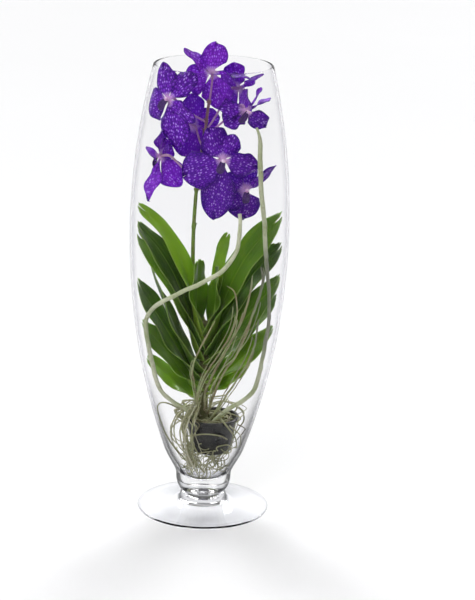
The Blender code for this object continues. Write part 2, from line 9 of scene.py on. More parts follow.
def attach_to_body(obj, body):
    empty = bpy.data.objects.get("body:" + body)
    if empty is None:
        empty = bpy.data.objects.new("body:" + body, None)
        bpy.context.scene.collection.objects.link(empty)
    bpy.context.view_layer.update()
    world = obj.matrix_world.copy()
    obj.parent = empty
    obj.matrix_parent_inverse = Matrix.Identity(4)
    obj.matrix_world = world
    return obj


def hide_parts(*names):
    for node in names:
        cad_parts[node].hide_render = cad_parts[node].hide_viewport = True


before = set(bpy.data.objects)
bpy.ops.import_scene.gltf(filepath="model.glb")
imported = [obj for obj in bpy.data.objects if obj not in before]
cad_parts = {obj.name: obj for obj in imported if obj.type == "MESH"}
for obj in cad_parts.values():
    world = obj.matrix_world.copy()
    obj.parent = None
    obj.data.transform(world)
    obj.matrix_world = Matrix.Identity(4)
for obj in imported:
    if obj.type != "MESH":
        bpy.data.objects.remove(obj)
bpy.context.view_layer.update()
scene = bpy.context.scene


# small maths
def direction(azimuth):
    angle = math.radians(azimuth)
    return Vector((math.cos(angle), math.sin(angle), 0))


def blend(a, b, share):
    return a + (b - a) * share


def smoothStep(low, high, value):
    share = min(1.0, max(0.0, (value - low) / (high - low)))
    return share * share * (3 - 2 * share)


def bell(value, middle, width):
    return math.exp(-((value - middle) / width) ** 2)


def randomVector(rng, size=1.0):
    return Vector([rng.uniform(-size, size) for _ in range(3)])


def fromMm(point):
    return Vector(point) / 1000


def smoothPath(points, spacing):
    ends = [points[0] * 2 - points[1], *points, points[-1] * 2 - points[-2]]
    path = []
    for before, start, stop, after in zip(ends, ends[1:], ends[2:], ends[3:]):
        steps = max(1, round((stop - start).length / spacing))
        for i in range(steps):
            t = i / steps
            path.append(0.5 * (2 * start + (stop - before) * t
                               + (2 * before - 5 * start + 4 * stop - after) * t * t
                               + (3 * start - before - 3 * stop + after) * t ** 3))
    return path + [points[-1]]


# shader building
def put(tree, socket, value):
    if isinstance(value, bpy.types.NodeSocket):
        tree.links.new(value, socket)
    else:
        socket.default_value = value


def maths(tree, operation, a, b=0.0):
    node = tree.nodes.new("ShaderNodeMath")
    node.operation = operation
    put(tree, node.inputs[0], a)
    put(tree, node.inputs[1], b)
    return node.outputs[0]


def times(tree, a, b):
    return maths(tree, "MULTIPLY", a, b)


def mixColour(tree, share, a, b):
    node = tree.nodes.new("ShaderNodeMix")
    node.data_type = "RGBA"
    for socket, value in zip((node.inputs[0], node.inputs[6], node.inputs[7]), (share, a, b)):
        if isinstance(value, tuple):
            value = (*value, 1)
        put(tree, socket, value)
    return node.outputs[2]


def remap(tree, value, low, high, outLow=0.0, outHigh=1.0):
    node = tree.nodes.new("ShaderNodeMapRange")
    node.interpolation_type = "SMOOTHSTEP"
    for socket, number in zip(node.inputs, (value, low, high, outLow, outHigh)):
        put(tree, socket, number)
    return node.outputs[0]


def stretch(tree, vector, scale):
    node = tree.nodes.new("ShaderNodeVectorMath")
    node.operation = "MULTIPLY"
    put(tree, node.inputs[0], vector)
    put(tree, node.inputs[1], scale)
    return node.outputs[0]


def noise(tree, vector, scale, detail=2.0, distortion=0.0):
    node = tree.nodes.new("ShaderNodeTexNoise")
    settings = dict(Vector=vector, Scale=scale, Detail=detail, Distortion=distortion)
    for name, value in settings.items():
        put(tree, node.inputs[name], value)
    return node.outputs["Fac"]


def voronoi(tree, vector, scale, feature, randomness):
    node = tree.nodes.new("ShaderNodeTexVoronoi")
    node.feature = feature
    for name, value in dict(Vector=vector, Scale=scale, Randomness=randomness).items():
        put(tree, node.inputs[name], value)
    return node.outputs["Distance"]


def bump(tree, shader, height, strength, distance):
    node = tree.nodes.new("ShaderNodeBump")
    node.inputs["Strength"].default_value = strength
    node.inputs["Distance"].default_value = distance
    put(tree, node.inputs["Height"], height)
    tree.links.new(node.outputs["Normal"], shader.inputs["Normal"])


def objectPlace(tree):
    return tree.nodes.new("ShaderNodeTexCoord").outputs["Object"]


def parts(tree, vector):
    node = tree.nodes.new("ShaderNodeSeparateXYZ")
    tree.links.new(vector, node.inputs[0])
    return node.outputs


def flatPlace(tree):
    node = tree.nodes.new("ShaderNodeUVMap")
    node.uv_map = "flat"
    return node.outputs["UV"]


def attribute(tree, name):
    node = tree.nodes.new("ShaderNodeAttribute")
    node.attribute_name = name
    return node.outputs["Fac"]


def newMaterial(name, roughness=0.5):
    material = bpy.data.materials.new(name)
    material.use_nodes = True
    shader = material.node_tree.nodes["Principled BSDF"]
    shader.inputs["Roughness"].default_value = roughness
    return material, material.node_tree, shader


def newGroup(name, inputs, outputs):
    tree = bpy.data.node_groups.new(name, "ShaderNodeTree")
    for label, kind in inputs:
        tree.interface.new_socket(label, in_out="INPUT", socket_type=kind)
    for label, kind in outputs:
        tree.interface.new_socket(label, in_out="OUTPUT", socket_type=kind)
    return tree, tree.nodes.new("NodeGroupInput").outputs, tree.nodes.new("NodeGroupOutput").inputs


def useGroup(tree, group, **values):
    node = tree.nodes.new("ShaderNodeGroup")
    node.node_tree = group
    for name, value in values.items():
        put(tree, node.inputs[name], value)
    return node.outputs


numberSocket, vectorSocket = "NodeSocketFloat", "NodeSocketVector"


# a net of paler cells with a light fleck in each, in rows along the petal
def makeNetGroup():
    tree, given, out = newGroup(
        "netAndFlecks",
        (("Place", vectorSocket), ("Cells", numberSocket), ("Fleck", numberSocket)),
        (("Net", numberSocket), ("Flecks", numberSocket), ("Cloud", numberSocket)))
    rows = stretch(tree, given["Place"], (1.0, 0.62, 1.0))
    wander = noise(tree, rows, 90.0, 2.0)
    bent = tree.nodes.new("ShaderNodeVectorMath")
    bent.operation = "MULTIPLY_ADD"
    tree.links.new(wander, bent.inputs[0])
    bent.inputs[1].default_value = (0.0022, 0.0022, 0.0)
    tree.links.new(rows, bent.inputs[2])
    edge = voronoi(tree, bent.outputs[0], given["Cells"], "DISTANCE_TO_EDGE", 0.55)
    middle = voronoi(tree, bent.outputs[0], given["Cells"], "F1", 0.55)
    tree.links.new(remap(tree, edge, 0.03, 0.22, 1.0, 0.0), out["Net"])
    size = noise(tree, given["Place"], 260.0, 1.0)
    reach = times(tree, given["Fleck"], maths(tree, "ADD", size, 0.25))
    fleck = maths(tree, "SUBTRACT", reach, middle)
    tree.links.new(remap(tree, fleck, -0.10, 0.16), out["Flecks"])
    tree.links.new(noise(tree, given["Place"], 55.0, 3.0), out["Cloud"])
    return tree


# fine lines along a leaf, petal, root or stalk
def makeLinesGroup():
    tree, given, out = newGroup(
        "fineLines",
        (("Place", vectorSocket), ("Across", numberSocket), ("Along", numberSocket)),
        (("Lines", numberSocket), ("Patches", numberSocket)))
    scale = tree.nodes.new("ShaderNodeCombineXYZ")
    tree.links.new(given["Across"], scale.inputs[0])
    tree.links.new(given["Along"], scale.inputs[1])
    tree.links.new(given["Along"], scale.inputs[2])
    place = stretch(tree, given["Place"], scale.outputs[0])
    tree.links.new(noise(tree, place, 1.0, 3.0), out["Lines"])
    tree.links.new(noise(tree, place, 0.22, 2.0, 0.6), out["Patches"])
    return tree


# soft blotches and specks on anything grown or dusty
def makeMottleGroup():
    tree, given, out = newGroup(
        "mottle",
        (("Place", vectorSocket), ("Size", numberSocket)),
        (("Blotches", numberSocket), ("Specks", numberSocket)))
    scale = maths(tree, "DIVIDE", 1.0, given["Size"])
    tree.links.new(noise(tree, given["Place"], scale, 4.0, 0.4), out["Blotches"])
    fine = noise(tree, given["Place"], times(tree, scale, 9.0), 2.0)
    tree.links.new(remap(tree, fine, 0.56, 0.70), out["Specks"])
    return tree


netGroup, linesGroup, mottleGroup = makeNetGroup(), makeLinesGroup(), makeMottleGroup()
print("shader groups ready")

petalColours = dict(
    face=dict(deep=(0.036, 0.003, 0.170), cell=(0.190, 0.022, 0.570), fleck=(0.56, 0.34, 0.88),
              heart=(0.70, 0.42, 0.74), fleckSize=0.40),
    # the back's colours are partly the petal's own paler back and partly painted light, raised so the top
    # flower, seen from behind, looks brightly lit
    back=dict(deep=(0.120, 0.008, 0.400), cell=(0.350, 0.050, 0.800), fleck=(0.58, 0.36, 0.92),
              heart=(0.74, 0.50, 0.76), fleckSize=0.38),
    cellsPerMetre=360.0, heartReach=0.011)


def petalMaterial(name, side):
    colours = petalColours[side]
    material, tree, shader = newMaterial(name, 0.46)
    place = flatPlace(tree)
    net = useGroup(tree, netGroup, Place=place, Cells=petalColours["cellsPerMetre"],
                   Fleck=colours["fleckSize"])
    veins = useGroup(tree, linesGroup, Place=place, Across=900.0, Along=60.0)
    split = parts(tree, place)
    heart = remap(tree, split["Y"], petalColours["heartReach"], 0.003)
    tone = attribute(tree, "tone")
    base = mixColour(tree, net["Net"], colours["cell"], colours["deep"])
    # painted shade in part: a flower with a low tone from the flowers table, such as the back one, is
    # darkened toward the deep colour; the cloudy patches added to it are the petal's own unevenness
    shade = maths(tree, "ADD", times(tree, net["Cloud"], 0.9), times(tree, tone, 0.8))
    base = mixColour(tree, remap(tree, shade, 0.35, 1.20), colours["deep"], base)
    edge = attribute(tree, "edge")
    inner = remap(tree, edge, 0.97, 0.45)
    strength = times(tree, net["Flecks"], times(tree, inner, 0.80))
    # painted highlight: the middle of each petal is lightened toward the cell colour
    base = mixColour(tree, times(tree, inner, 0.22), base, colours["cell"])
    # painted shade: the flecks are dimmed where a flower or patch is darkened
    strength = times(tree, strength, remap(tree, shade, 0.30, 1.10, 0.30, 1.0))
    base = mixColour(tree, strength, base, colours["fleck"])
    # painted shade: the petal's margins are darkened toward the deep colour
    base = mixColour(tree, remap(tree, edge, 0.72, 1.0, 0.0, 0.6), base, colours["deep"])
    base = mixColour(tree, times(tree, heart, 0.85), base, colours["heart"])
    tree.links.new(base, shader.inputs["Base Color"])
    tree.links.new(remap(tree, veins["Lines"], 0.3, 0.7, 0.36, 0.58), shader.inputs["Roughness"])
    shader.inputs["Specular IOR Level"].default_value = 0.16
    shader.inputs["Subsurface Weight"].default_value = 0.10
    shader.inputs["Subsurface Radius"].default_value = (0.30, 0.10, 0.60)
    shader.inputs["Subsurface Scale"].default_value = 0.004
    relief = maths(tree, "ADD", times(tree, net["Net"], -0.5), veins["Lines"])
    bump(tree, shader, relief, 0.45, 0.0006)
    return material


columnColours = dict(pale=(0.86, 0.70, 0.86), lilac=(0.58, 0.26, 0.62), speck=(0.32, 0.05, 0.42))
lipColours = dict(groove=(0.012, 0.002, 0.040), ridge=(0.060, 0.008, 0.160), speck=(0.30, 0.12, 0.55))


def columnMaterial():
    material, tree, shader = newMaterial("paleColumn", 0.42)
    place = objectPlace(tree)
    spots = useGroup(tree, mottleGroup, Place=place, Size=0.004)
    base = mixColour(tree, remap(tree, spots["Blotches"], 0.35, 0.65), columnColours["pale"],
                     columnColours["lilac"])
    base = mixColour(tree, spots["Specks"], base, columnColours["speck"])
    tree.links.new(base, shader.inputs["Base Color"])
    shader.inputs["Subsurface Weight"].default_value = 0.2
    shader.inputs["Subsurface Scale"].default_value = 0.003
    bump(tree, shader, spots["Blotches"], 0.3, 0.0004)
    return material


def lipMaterial():
    material, tree, shader = newMaterial("darkLip", 0.34)
    place = flatPlace(tree)
    ridges = useGroup(tree, linesGroup, Place=place, Across=1400.0, Along=120.0)
    spots = useGroup(tree, mottleGroup, Place=place, Size=0.003)
    base = mixColour(tree, ridges["Lines"], lipColours["groove"], lipColours["ridge"])
    base = mixColour(tree, times(tree, spots["Specks"], 0.5), base, lipColours["speck"])
    tree.links.new(base, shader.inputs["Base Color"])
    tree.links.new(remap(tree, ridges["Lines"], 0.3, 0.7, 0.28, 0.5), shader.inputs["Roughness"])
    bump(tree, shader, ridges["Lines"], 0.6, 0.0006)
    return material


leafColours = dict(
    face=dict(dark=(0.015, 0.046, 0.003), mid=(0.066, 0.155, 0.007), light=(0.190, 0.370, 0.014)),
    back=dict(dark=(0.040, 0.095, 0.012), mid=(0.110, 0.205, 0.020), light=(0.260, 0.410, 0.040)),
    margin=(0.30, 0.42, 0.10), scar=(0.16, 0.17, 0.045))


def leafMaterial(name, side):
    colours = leafColours[side]
    material, tree, shader = newMaterial(name, 0.36)
    place = flatPlace(tree)
    veins = useGroup(tree, linesGroup, Place=place, Across=620.0, Along=9.0)
    spots = useGroup(tree, mottleGroup, Place=objectPlace(tree), Size=0.030)
    tone, edge = attribute(tree, "tone"), attribute(tree, "edge")
    # painted shade in part: the leaf's tone from the leaves table, low for leaves seen in shade, picks
    # between the dark, mid and light greens, with blotches on top
    unevenness = times(tree, maths(tree, "SUBTRACT", spots["Blotches"], 0.5), 0.8)
    toneWithBlotches = maths(tree, "ADD", tone, unevenness)
    base = mixColour(tree, remap(tree, toneWithBlotches, 0.0, 0.55), colours["dark"], colours["mid"])
    base = mixColour(tree, remap(tree, toneWithBlotches, 0.5, 1.1), base, colours["light"])
    base = mixColour(tree, remap(tree, veins["Lines"], 0.44, 0.74, 0.0, 0.35), base, colours["light"])
    rib = remap(tree, edge, 0.045, 0.0)
    base = mixColour(tree, times(tree, rib, 0.55), base, colours["light"])
    margin = remap(tree, edge, 0.955, 1.0)
    base = mixColour(tree, times(tree, margin, 0.6), base, leafColours["margin"])
    scar = times(tree, spots["Specks"], 0.30)
    base = mixColour(tree, scar, base, leafColours["scar"])
    tree.links.new(base, shader.inputs["Base Color"])
    tree.links.new(remap(tree, veins["Patches"], 0.3, 0.7, 0.28, 0.46), shader.inputs["Roughness"])
    shader.inputs["Specular IOR Level"].default_value = 0.28
    shader.inputs["Subsurface Weight"].default_value = 0.22
    shader.inputs["Subsurface Radius"].default_value = (0.5, 1.0, 0.1)
    shader.inputs["Subsurface Scale"].default_value = 0.003
    relief = maths(tree, "SUBTRACT", veins["Lines"], times(tree, rib, 1.4))
    bump(tree, shader, relief, 0.35, 0.0008)
    return material


rootColours = dict(
    silvery=dict(pale=(0.62, 0.64, 0.46), green=(0.36, 0.42, 0.20), brown=(0.24, 0.19, 0.10)),
    fine=dict(pale=(0.66, 0.63, 0.48), green=(0.34, 0.35, 0.18), brown=(0.18, 0.14, 0.08)),
    # the dark grey below, and the heights and x range after the speck colour, are painted shade laid on the
    # long root beside the leaves
    paintedShade=(0.17, 0.18, 0.14), speck=(0.80, 0.80, 0.70), paintedShadeFrom=(0.20, 0.25), paintedShadeTo=(0.39, 0.35),
    paintedShadeOutside=(0.050, 0.066))


def rootMaterial(name, kind):
    colours = rootColours[kind]
    material, tree, shader = newMaterial(name, 0.68)
    place = objectPlace(tree)
    large = useGroup(tree, mottleGroup, Place=place, Size=0.022)
    small = useGroup(tree, mottleGroup, Place=place, Size=0.0035)
    mood = maths(tree, "ADD", times(tree, attribute(tree, "tone"), 0.6), times(tree, large["Blotches"], 0.7))
    base = mixColour(tree, remap(tree, mood, 0.25, 0.62), colours["pale"], colours["green"])
    base = mixColour(tree, remap(tree, mood, 0.66, 0.95), base, colours["brown"])
    base = mixColour(tree, remap(tree, small["Blotches"], 0.5, 0.72, 0.0, 0.45), base, colours["brown"])
    base = mixColour(tree, times(tree, small["Specks"], 0.35), base, rootColours["speck"])
    # painted shade: the long root is darkened toward grey between these heights and outside this x, where it
    # passes beside the leaves
    split = parts(tree, place)
    beside = times(tree, remap(tree, split["Z"], *rootColours["paintedShadeFrom"]),
                   remap(tree, split["Z"], *rootColours["paintedShadeTo"]))
    beside = times(tree, beside, remap(tree, split["X"], *rootColours["paintedShadeOutside"]))
    base = mixColour(tree, times(tree, beside, 0.75), base, rootColours["paintedShade"])
    tree.links.new(base, shader.inputs["Base Color"])
    tree.links.new(remap(tree, small["Blotches"], 0.3, 0.7, 0.55, 0.85), shader.inputs["Roughness"])
    bump(tree, shader, maths(tree, "ADD", small["Blotches"], large["Blotches"]), 0.5, 0.0007)
    return material


# low and high colours, and the heights between which one turns into the other
stalkColours = dict(
    spikeGreen=((0.130, 0.220, 0.020), (0.230, 0.120, 0.120), 0.44, 0.54),
    stalkPink=((0.50, 0.30, 0.42), (0.42, 0.20, 0.46), 0.44, 0.58), blotch=(0.16, 0.07, 0.05))


def stalkMaterial(name):
    low, high, fromHeight, toHeight = stalkColours[name]
    material, tree, shader = newMaterial(name, 0.45)
    place = objectPlace(tree)
    lines = useGroup(tree, linesGroup, Place=place, Across=1500.0, Along=90.0)
    spots = useGroup(tree, mottleGroup, Place=place, Size=0.006)
    split = parts(tree, place)
    rise = maths(tree, "ADD", split["Z"],
                 times(tree, maths(tree, "SUBTRACT", spots["Blotches"], 0.5), 0.05))
    base = mixColour(tree, remap(tree, rise, fromHeight, toHeight), low, high)
    base = mixColour(tree, remap(tree, spots["Blotches"], 0.45, 0.75, 0.0, 0.5), base, stalkColours["blotch"])
    tree.links.new(base, shader.inputs["Base Color"])
    tree.links.new(remap(tree, lines["Lines"], 0.3, 0.7, 0.36, 0.56), shader.inputs["Roughness"])
    bump(tree, shader, lines["Lines"], 0.3, 0.0005)
    return material


barkColours = dict(green=(0.060, 0.080, 0.020), olive=(0.200, 0.190, 0.070), fibre=(0.34, 0.27, 0.14))


def stemMaterial():
    material, tree, shader = newMaterial("stemBark", 0.6)
    place = objectPlace(tree)
    fibres = useGroup(tree, linesGroup, Place=place, Across=700.0, Along=40.0)
    spots = useGroup(tree, mottleGroup, Place=place, Size=0.012)
    base = mixColour(tree, spots["Blotches"], barkColours["green"], barkColours["olive"])
    base = mixColour(tree, remap(tree, fibres["Lines"], 0.5, 0.75, 0.0, 0.5), base, barkColours["fibre"])
    tree.links.new(base, shader.inputs["Base Color"])
    tree.links.new(remap(tree, fibres["Lines"], 0.3, 0.7, 0.5, 0.75), shader.inputs["Roughness"])
    bump(tree, shader, fibres["Lines"], 0.5, 0.0012)
    return material


potColours = dict(plastic=(0.010, 0.010, 0.011), film=(0.050, 0.047, 0.040), dust=(0.22, 0.20, 0.15))


def potMaterial():
    material, tree, shader = newMaterial("blackPlastic", 0.3)
    place = objectPlace(tree)
    dust = useGroup(tree, mottleGroup, Place=place, Size=0.014)
    film = remap(tree, dust["Blotches"], 0.45, 0.8)
    base = mixColour(tree, film, potColours["plastic"], potColours["film"])
    base = mixColour(tree, times(tree, dust["Specks"], 0.25), base, potColours["dust"])
    tree.links.new(base, shader.inputs["Base Color"])
    tree.links.new(remap(tree, dust["Blotches"], 0.3, 0.7, 0.24, 0.42), shader.inputs["Roughness"])
    bump(tree, shader, dust["Blotches"], 0.08, 0.0006)
    return material


# the bowl's wall is thin and clear; the foot's glass is greyer, painted shade for the floor seen through it;
# both darken edge on, most where the glass is thick
bowlGlass = dict(
    name="clearGlass", ior=1.09, clear=(0.948, 0.948, 0.954), edge=(0.34, 0.33, 0.40), edgeFrom=0.60,
    thick=(0.0008, 0.0010, 0.0020), thinAt=0.20, thickAt=0.07)
footGlass = dict(
    name="footGlass", ior=1.30, clear=(0.76, 0.765, 0.78), edge=(0.05, 0.06, 0.09), edgeFrom=0.60,
    thick=(0.0040, 0.0050, 0.0080), thinAt=0.0118, thickAt=0.0135)
glassEdges = dict(thickFrom=0.36, thickTo=0.80, shadeFrom=0.25, shadeTo=0.85, shade=(0.965, 0.965, 0.965),
                  edgeShade=(0.72, 0.72, 0.74))


def glassMaterial(kind):
    material, tree, shader = newMaterial(kind["name"], 0.0)
    weight = tree.nodes.new("ShaderNodeLayerWeight")
    weight.inputs["Blend"].default_value = 0.5
    facing = weight.outputs["Facing"]
    split = parts(tree, objectPlace(tree))
    thickness = remap(tree, split["Z"], kind["thinAt"], kind["thickAt"])
    thin = mixColour(tree, remap(tree, facing, kind["edgeFrom"], 1.0), kind["clear"], kind["edge"])
    edgeOn = remap(tree, facing, glassEdges["thickFrom"], glassEdges["thickTo"])
    thick = mixColour(tree, edgeOn, kind["clear"], kind["thick"])
    tree.links.new(mixColour(tree, thickness, thin, thick), shader.inputs["Base Color"])
    shader.inputs["Transmission Weight"].default_value = 1.0
    shader.inputs["IOR"].default_value = kind["ior"]
    # lamps shine through, less where the wall is seen edge on
    clear = tree.nodes.new("ShaderNodeBsdfTransparent")
    shade = remap(tree, facing, glassEdges["shadeFrom"], glassEdges["shadeTo"])
    shade = mixColour(tree, shade, glassEdges["shade"], glassEdges["edgeShade"])
    tree.links.new(shade, clear.inputs["Color"])
    path = tree.nodes.new("ShaderNodeLightPath")
    either = tree.nodes.new("ShaderNodeMixShader")
    tree.links.new(path.outputs["Is Shadow Ray"], either.inputs[0])
    tree.links.new(shader.outputs[0], either.inputs[1])
    tree.links.new(clear.outputs[0], either.inputs[2])
    tree.links.new(either.outputs[0], tree.nodes["Material Output"].inputs["Surface"])
    return material


petalFace, petalBack = petalMaterial("petalFace", "face"), petalMaterial("petalBack", "back")
leafFace, leafBack = leafMaterial("leafFace", "face"), leafMaterial("leafBack", "back")
silveryRoot, fineRoot = rootMaterial("silveryRoot", "silvery"), rootMaterial("fineRoot", "fine")
spikeGreen, stalkPink = stalkMaterial("spikeGreen"), stalkMaterial("stalkPink")
paleColumn, darkLip = columnMaterial(), lipMaterial()
stemBark, blackPlastic = stemMaterial(), potMaterial()
clearGlass, solidGlass = glassMaterial(bowlGlass), glassMaterial(footGlass)
print("materials ready")


# pieces
def attach(obj, slotName, *nodes):
    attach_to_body(obj, "root")
    if nodes:
        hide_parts(*nodes)
    return obj


def addMesh(bm, name, materials):
    mesh = bpy.data.meshes.new(name)
    bm.to_mesh(mesh)
    bm.free()
    for material in materials:
        mesh.materials.append(material)
    obj = bpy.data.objects.new(name, mesh)
    scene.collection.objects.link(obj)
    return obj


def applyModifiers(obj):
    graph = bpy.context.evaluated_depsgraph_get()
    mesh = bpy.data.meshes.new_from_object(obj.evaluated_get(graph))
    obj.modifiers.clear()
    old = obj.data
    obj.data = mesh
    mesh.name = obj.name
    if not old.users:
        bpy.data.meshes.remove(old)
    return obj


def lathe(bm, profile, sides, centre=Vector((0, 0, 0)), warp=None):
    rings = []
    for radius, height in profile:
        if radius == 0:
            rings.append([bm.verts.new(centre + Vector((0, 0, height)))])
            continue
        ring = []
        for i in range(sides):
            wide = radius if warp is None else warp(radius, height, i / sides)
            ring.append(bm.verts.new(centre + direction(360 * i / sides) * wide + Vector((0, 0, height))))
        rings.append(ring)
    for first, second in zip(rings, rings[1:]):
        for i in range(sides):
            j = (i + 1) % sides
            corners = [first[i % len(first)], second[i % len(second)], second[j % len(second)],
                       first[j % len(first)]]
            corners = list(dict.fromkeys(corners))
            bm.faces.new(corners).smooth = True


def roundedProfile(corners, rounding, steps=4):
    # every corner of the profile becomes a small arc
    points = [corners[0]]
    for before, corner, after in zip(corners, corners[1:], corners[2:]):
        a, b, c = Vector(before), Vector(corner), Vector(after)
        cutIn = min(rounding, (a - b).length * 0.45, (c - b).length * 0.45)
        start, stop = b + (a - b).normalized() * cutIn, b + (c - b).normalized() * cutIn
        for i in range(steps + 1):
            t = i / steps
            points.append(tuple(start * (1 - t) ** 2 + b * 2 * t * (1 - t) + stop * t * t))
    return points + [corners[-1]]


vase = dict(
    height=0.600, rimRadius=0.0767, bellyRadius=0.1037, bellyHeight=0.385, bowlBaseRadius=0.0380,
    bowlBaseHeight=0.043, shoulderPower=1.95, taperPower=2.1, drawnIn=0.0045, drawnFrom=0.085,
    drawnTo=0.050, heelRadius=0.0366, heelHeight=0.0450, wall=0.003, baseWall=0.006,
    wallThinsOver=0.110, floorHeight=0.040, floorRounding=0.014, neckRadius=0.0235, neckHeight=0.0225,
    knopRadius=0.0312, knopHeight=0.0185, knopUnder=0.0143, knopFillet=0.004, knopRounding=0.0014,
    footRadius=0.0877, footEdge=0.0030, footRise=0.0119, footFlare=1.7, footRing=0.004,
    footThickness=0.0032, sides=192)


def outerRadius(height):
    belly, bellyHeight = vase["bellyRadius"], vase["bellyHeight"]
    if height > bellyHeight:
        share = (height - bellyHeight) / (vase["height"] - bellyHeight)
        return blend(belly, vase["rimRadius"], share ** vase["shoulderPower"])
    share = (bellyHeight - height) / (bellyHeight - vase["bowlBaseHeight"])
    radius = blend(belly, vase["bowlBaseRadius"], share ** vase["taperPower"])
    radius -= vase["drawnIn"] * smoothStep(vase["drawnFrom"], vase["drawnTo"], height)
    return max(radius, vase["heelRadius"])


def innerRadius(height):
    height = min(height, vase["height"])
    thin = min(1.0, max(0.0, (height - vase["floorHeight"]) / vase["wallThinsOver"]))
    radius = outerRadius(height) - blend(vase["baseWall"], vase["wall"], 1 - (1 - thin) ** 2)
    rise = (height - vase["floorHeight"]) / vase["floorRounding"]
    if rise < 1:
        radius *= math.sqrt(max(0.0, 1 - (1 - max(rise, 0.0)) ** 2))
    return radius


def keepInside(point, margin):
    # whatever would pass through the glass is pressed against it instead
    radius = math.hypot(point.x, point.y)
    limit = innerRadius(point.z) - margin
    free = 0.86 * limit
    if radius <= free:
        return point
    pressed = free + (limit - free) * math.tanh((radius - free) / (limit - free))
    return Vector((point.x * pressed / radius, point.y * pressed / radius, point.z))


def bowlInside():
    # a dished floor, then the wall up to the lip
    floor, rounding = vase["floorHeight"], vase["floorRounding"]
    heights = [floor + rounding * (i / 14) ** 2 for i in range(1, 15)]
    heights += [blend(floor + rounding, vase["height"] - vase["wall"] / 2, i / 60) for i in range(1, 61)]
    return [(innerRadius(height), height) for height in heights]


def bowlOutside():
    # a rounded lip, the wall down to the heel, and the heel rounding in to the neck
    wall, heelHeight = vase["wall"], vase["heelHeight"]
    lipStart = vase["height"] - wall / 2
    middle = vase["rimRadius"] - wall / 2
    points = [(middle - wall / 2 * math.cos(a), lipStart + wall / 2 * math.sin(a))
              for a in (math.pi * i / 8 for i in range(1, 8))]
    heights = [blend(lipStart, heelHeight, i / 70) for i in range(71)]
    points += [(outerRadius(height), height) for height in heights]
    for i in range(1, 14):
        a = math.pi / 2 * i / 14
        points.append((blend(vase["neckRadius"], outerRadius(heelHeight), math.cos(a)),
                       blend(heelHeight, vase["neckHeight"], math.sin(a))))
    return points


def knopAndFoot(heelEnd):
    knop, knopHeight, rise = vase["knopRadius"], vase["knopHeight"], vase["footRise"]
    footStart = knop + vase["knopFillet"]
    ring = [heelEnd, (vase["neckRadius"], vase["neckHeight"]),
            (knop - 0.003, blend(knopHeight, vase["neckHeight"], 0.80)), (knop, knopHeight),
            (knop - 0.0005, vase["knopUnder"]), (footStart, rise)]
    edge = vase["footEdge"]
    top = [(blend(footStart, vase["footRadius"] - 0.001, share),
            blend(edge, rise, (1 - share) ** vase["footFlare"])) for share in (i / 24 for i in range(1, 24))]
    rounded = [(vase["footRadius"] - edge / 2 + edge / 2 * math.sin(a), edge / 2 + edge / 2 * math.cos(a))
               for a in (math.pi * i / 8 for i in range(9))]
    # the foot is a thin dome, hollow beneath
    ringInner = vase["footRadius"] - vase["footRing"]
    under = [(ringInner, 0)] + [(radius, max(0.0004, height - vase["footThickness"]))
                                for radius, height in reversed(top) if radius < ringInner - 0.002]
    crown = under[-1][1] + 0.0008
    under += [(knop * share, crown) for share in (0.9, 0.6, 0.3)] + [(0, crown)]
    return roundedProfile(ring, vase["knopRounding"], 5)[1:] + top + rounded + under


def buildVase():
    floor, outside = vase["floorHeight"], bowlOutside()
    profile = [(0, floor), *bowlInside(), *outside, *knopAndFoot(outside[-1])]
    bm = bmesh.new()
    lathe(bm, profile, vase["sides"])
    bmesh.ops.recalc_face_normals(bm, faces=bm.faces)
    for face in bm.faces:
        face.material_index = 1 if face.calc_center_median().z < floor - 0.001 else 0
    return attach(addMesh(bm, "glassVase", [clearGlass, solidGlass]), "clear_glass", "glass_vase")


buildVase()
print("vase ready")

# pot
pot = dict(
    centre=Vector((0.0095, -0.002, 0)), floor=0.082, height=0.047, topRadius=0.0340, bottomRadius=0.0265,
    wall=0.0012, lip=0.0022, lipHeight=0.006, drainRadius=0.0035, drainCount=4, flutes=24,
    fluteDepth=0.0006, sides=144)
potRim = pot["floor"] + pot["height"]


def potRadius(height):
    return blend(pot["bottomRadius"], pot["topRadius"], (height - pot["floor"]) / pot["height"])


def buildPot():
    top, floor = potRim, pot["floor"] + pot["wall"]
    lip = top - pot["lipHeight"]
    corners = [(0, floor), (potRadius(floor) - pot["wall"], floor), (potRadius(top) - pot["wall"], top),
               (potRadius(top) + pot["lip"], top), (potRadius(lip) + pot["lip"], lip),
               (potRadius(lip), lip), (pot["bottomRadius"], pot["floor"]), (0, pot["floor"])]
    profile = roundedProfile(corners, 0.0006, 3)

    def flutes(radius, height, share):
        if height > lip - 0.001 or radius < pot["bottomRadius"] * 0.9:
            return radius
        wave = 0.5 + 0.5 * math.cos(2 * math.pi * share * pot["flutes"])
        return radius - pot["fluteDepth"] * wave ** 3 * smoothStep(lip - 0.001, lip - 0.004, height)

    bm = bmesh.new()
    lathe(bm, profile, pot["sides"], pot["centre"], flutes)
    bmesh.ops.recalc_face_normals(bm, faces=bm.faces)
    obj = addMesh(bm, "plantPot", [blackPlastic])
    bm = bmesh.new()
    for i in range(pot["drainCount"]):
        spot = direction(45 + 360 * i / pot["drainCount"]) * pot["bottomRadius"] * 0.6
        spot.z = pot["floor"]
        bmesh.ops.create_cone(bm, cap_ends=True, segments=24, radius1=pot["drainRadius"],
                              radius2=pot["drainRadius"], depth=pot["wall"] * 6,
                              matrix=Matrix.Translation(pot["centre"] + spot))
    cutter = addMesh(bm, "drainCutter", [])
    cut = obj.modifiers.new("drain", "BOOLEAN")
    cut.object = cutter
    applyModifiers(obj)
    bpy.data.objects.remove(cutter)
    return attach(obj, "black_plastic", "plant_pot")


buildPot()
print("pot ready")

# stem, ringed where old leaves have fallen
stem = dict(
    x=-0.003, radius=0.0072, topRadius=0.0050, bottom=0.0835, top=0.258, ring=0.007, ringDepth=0.0005)


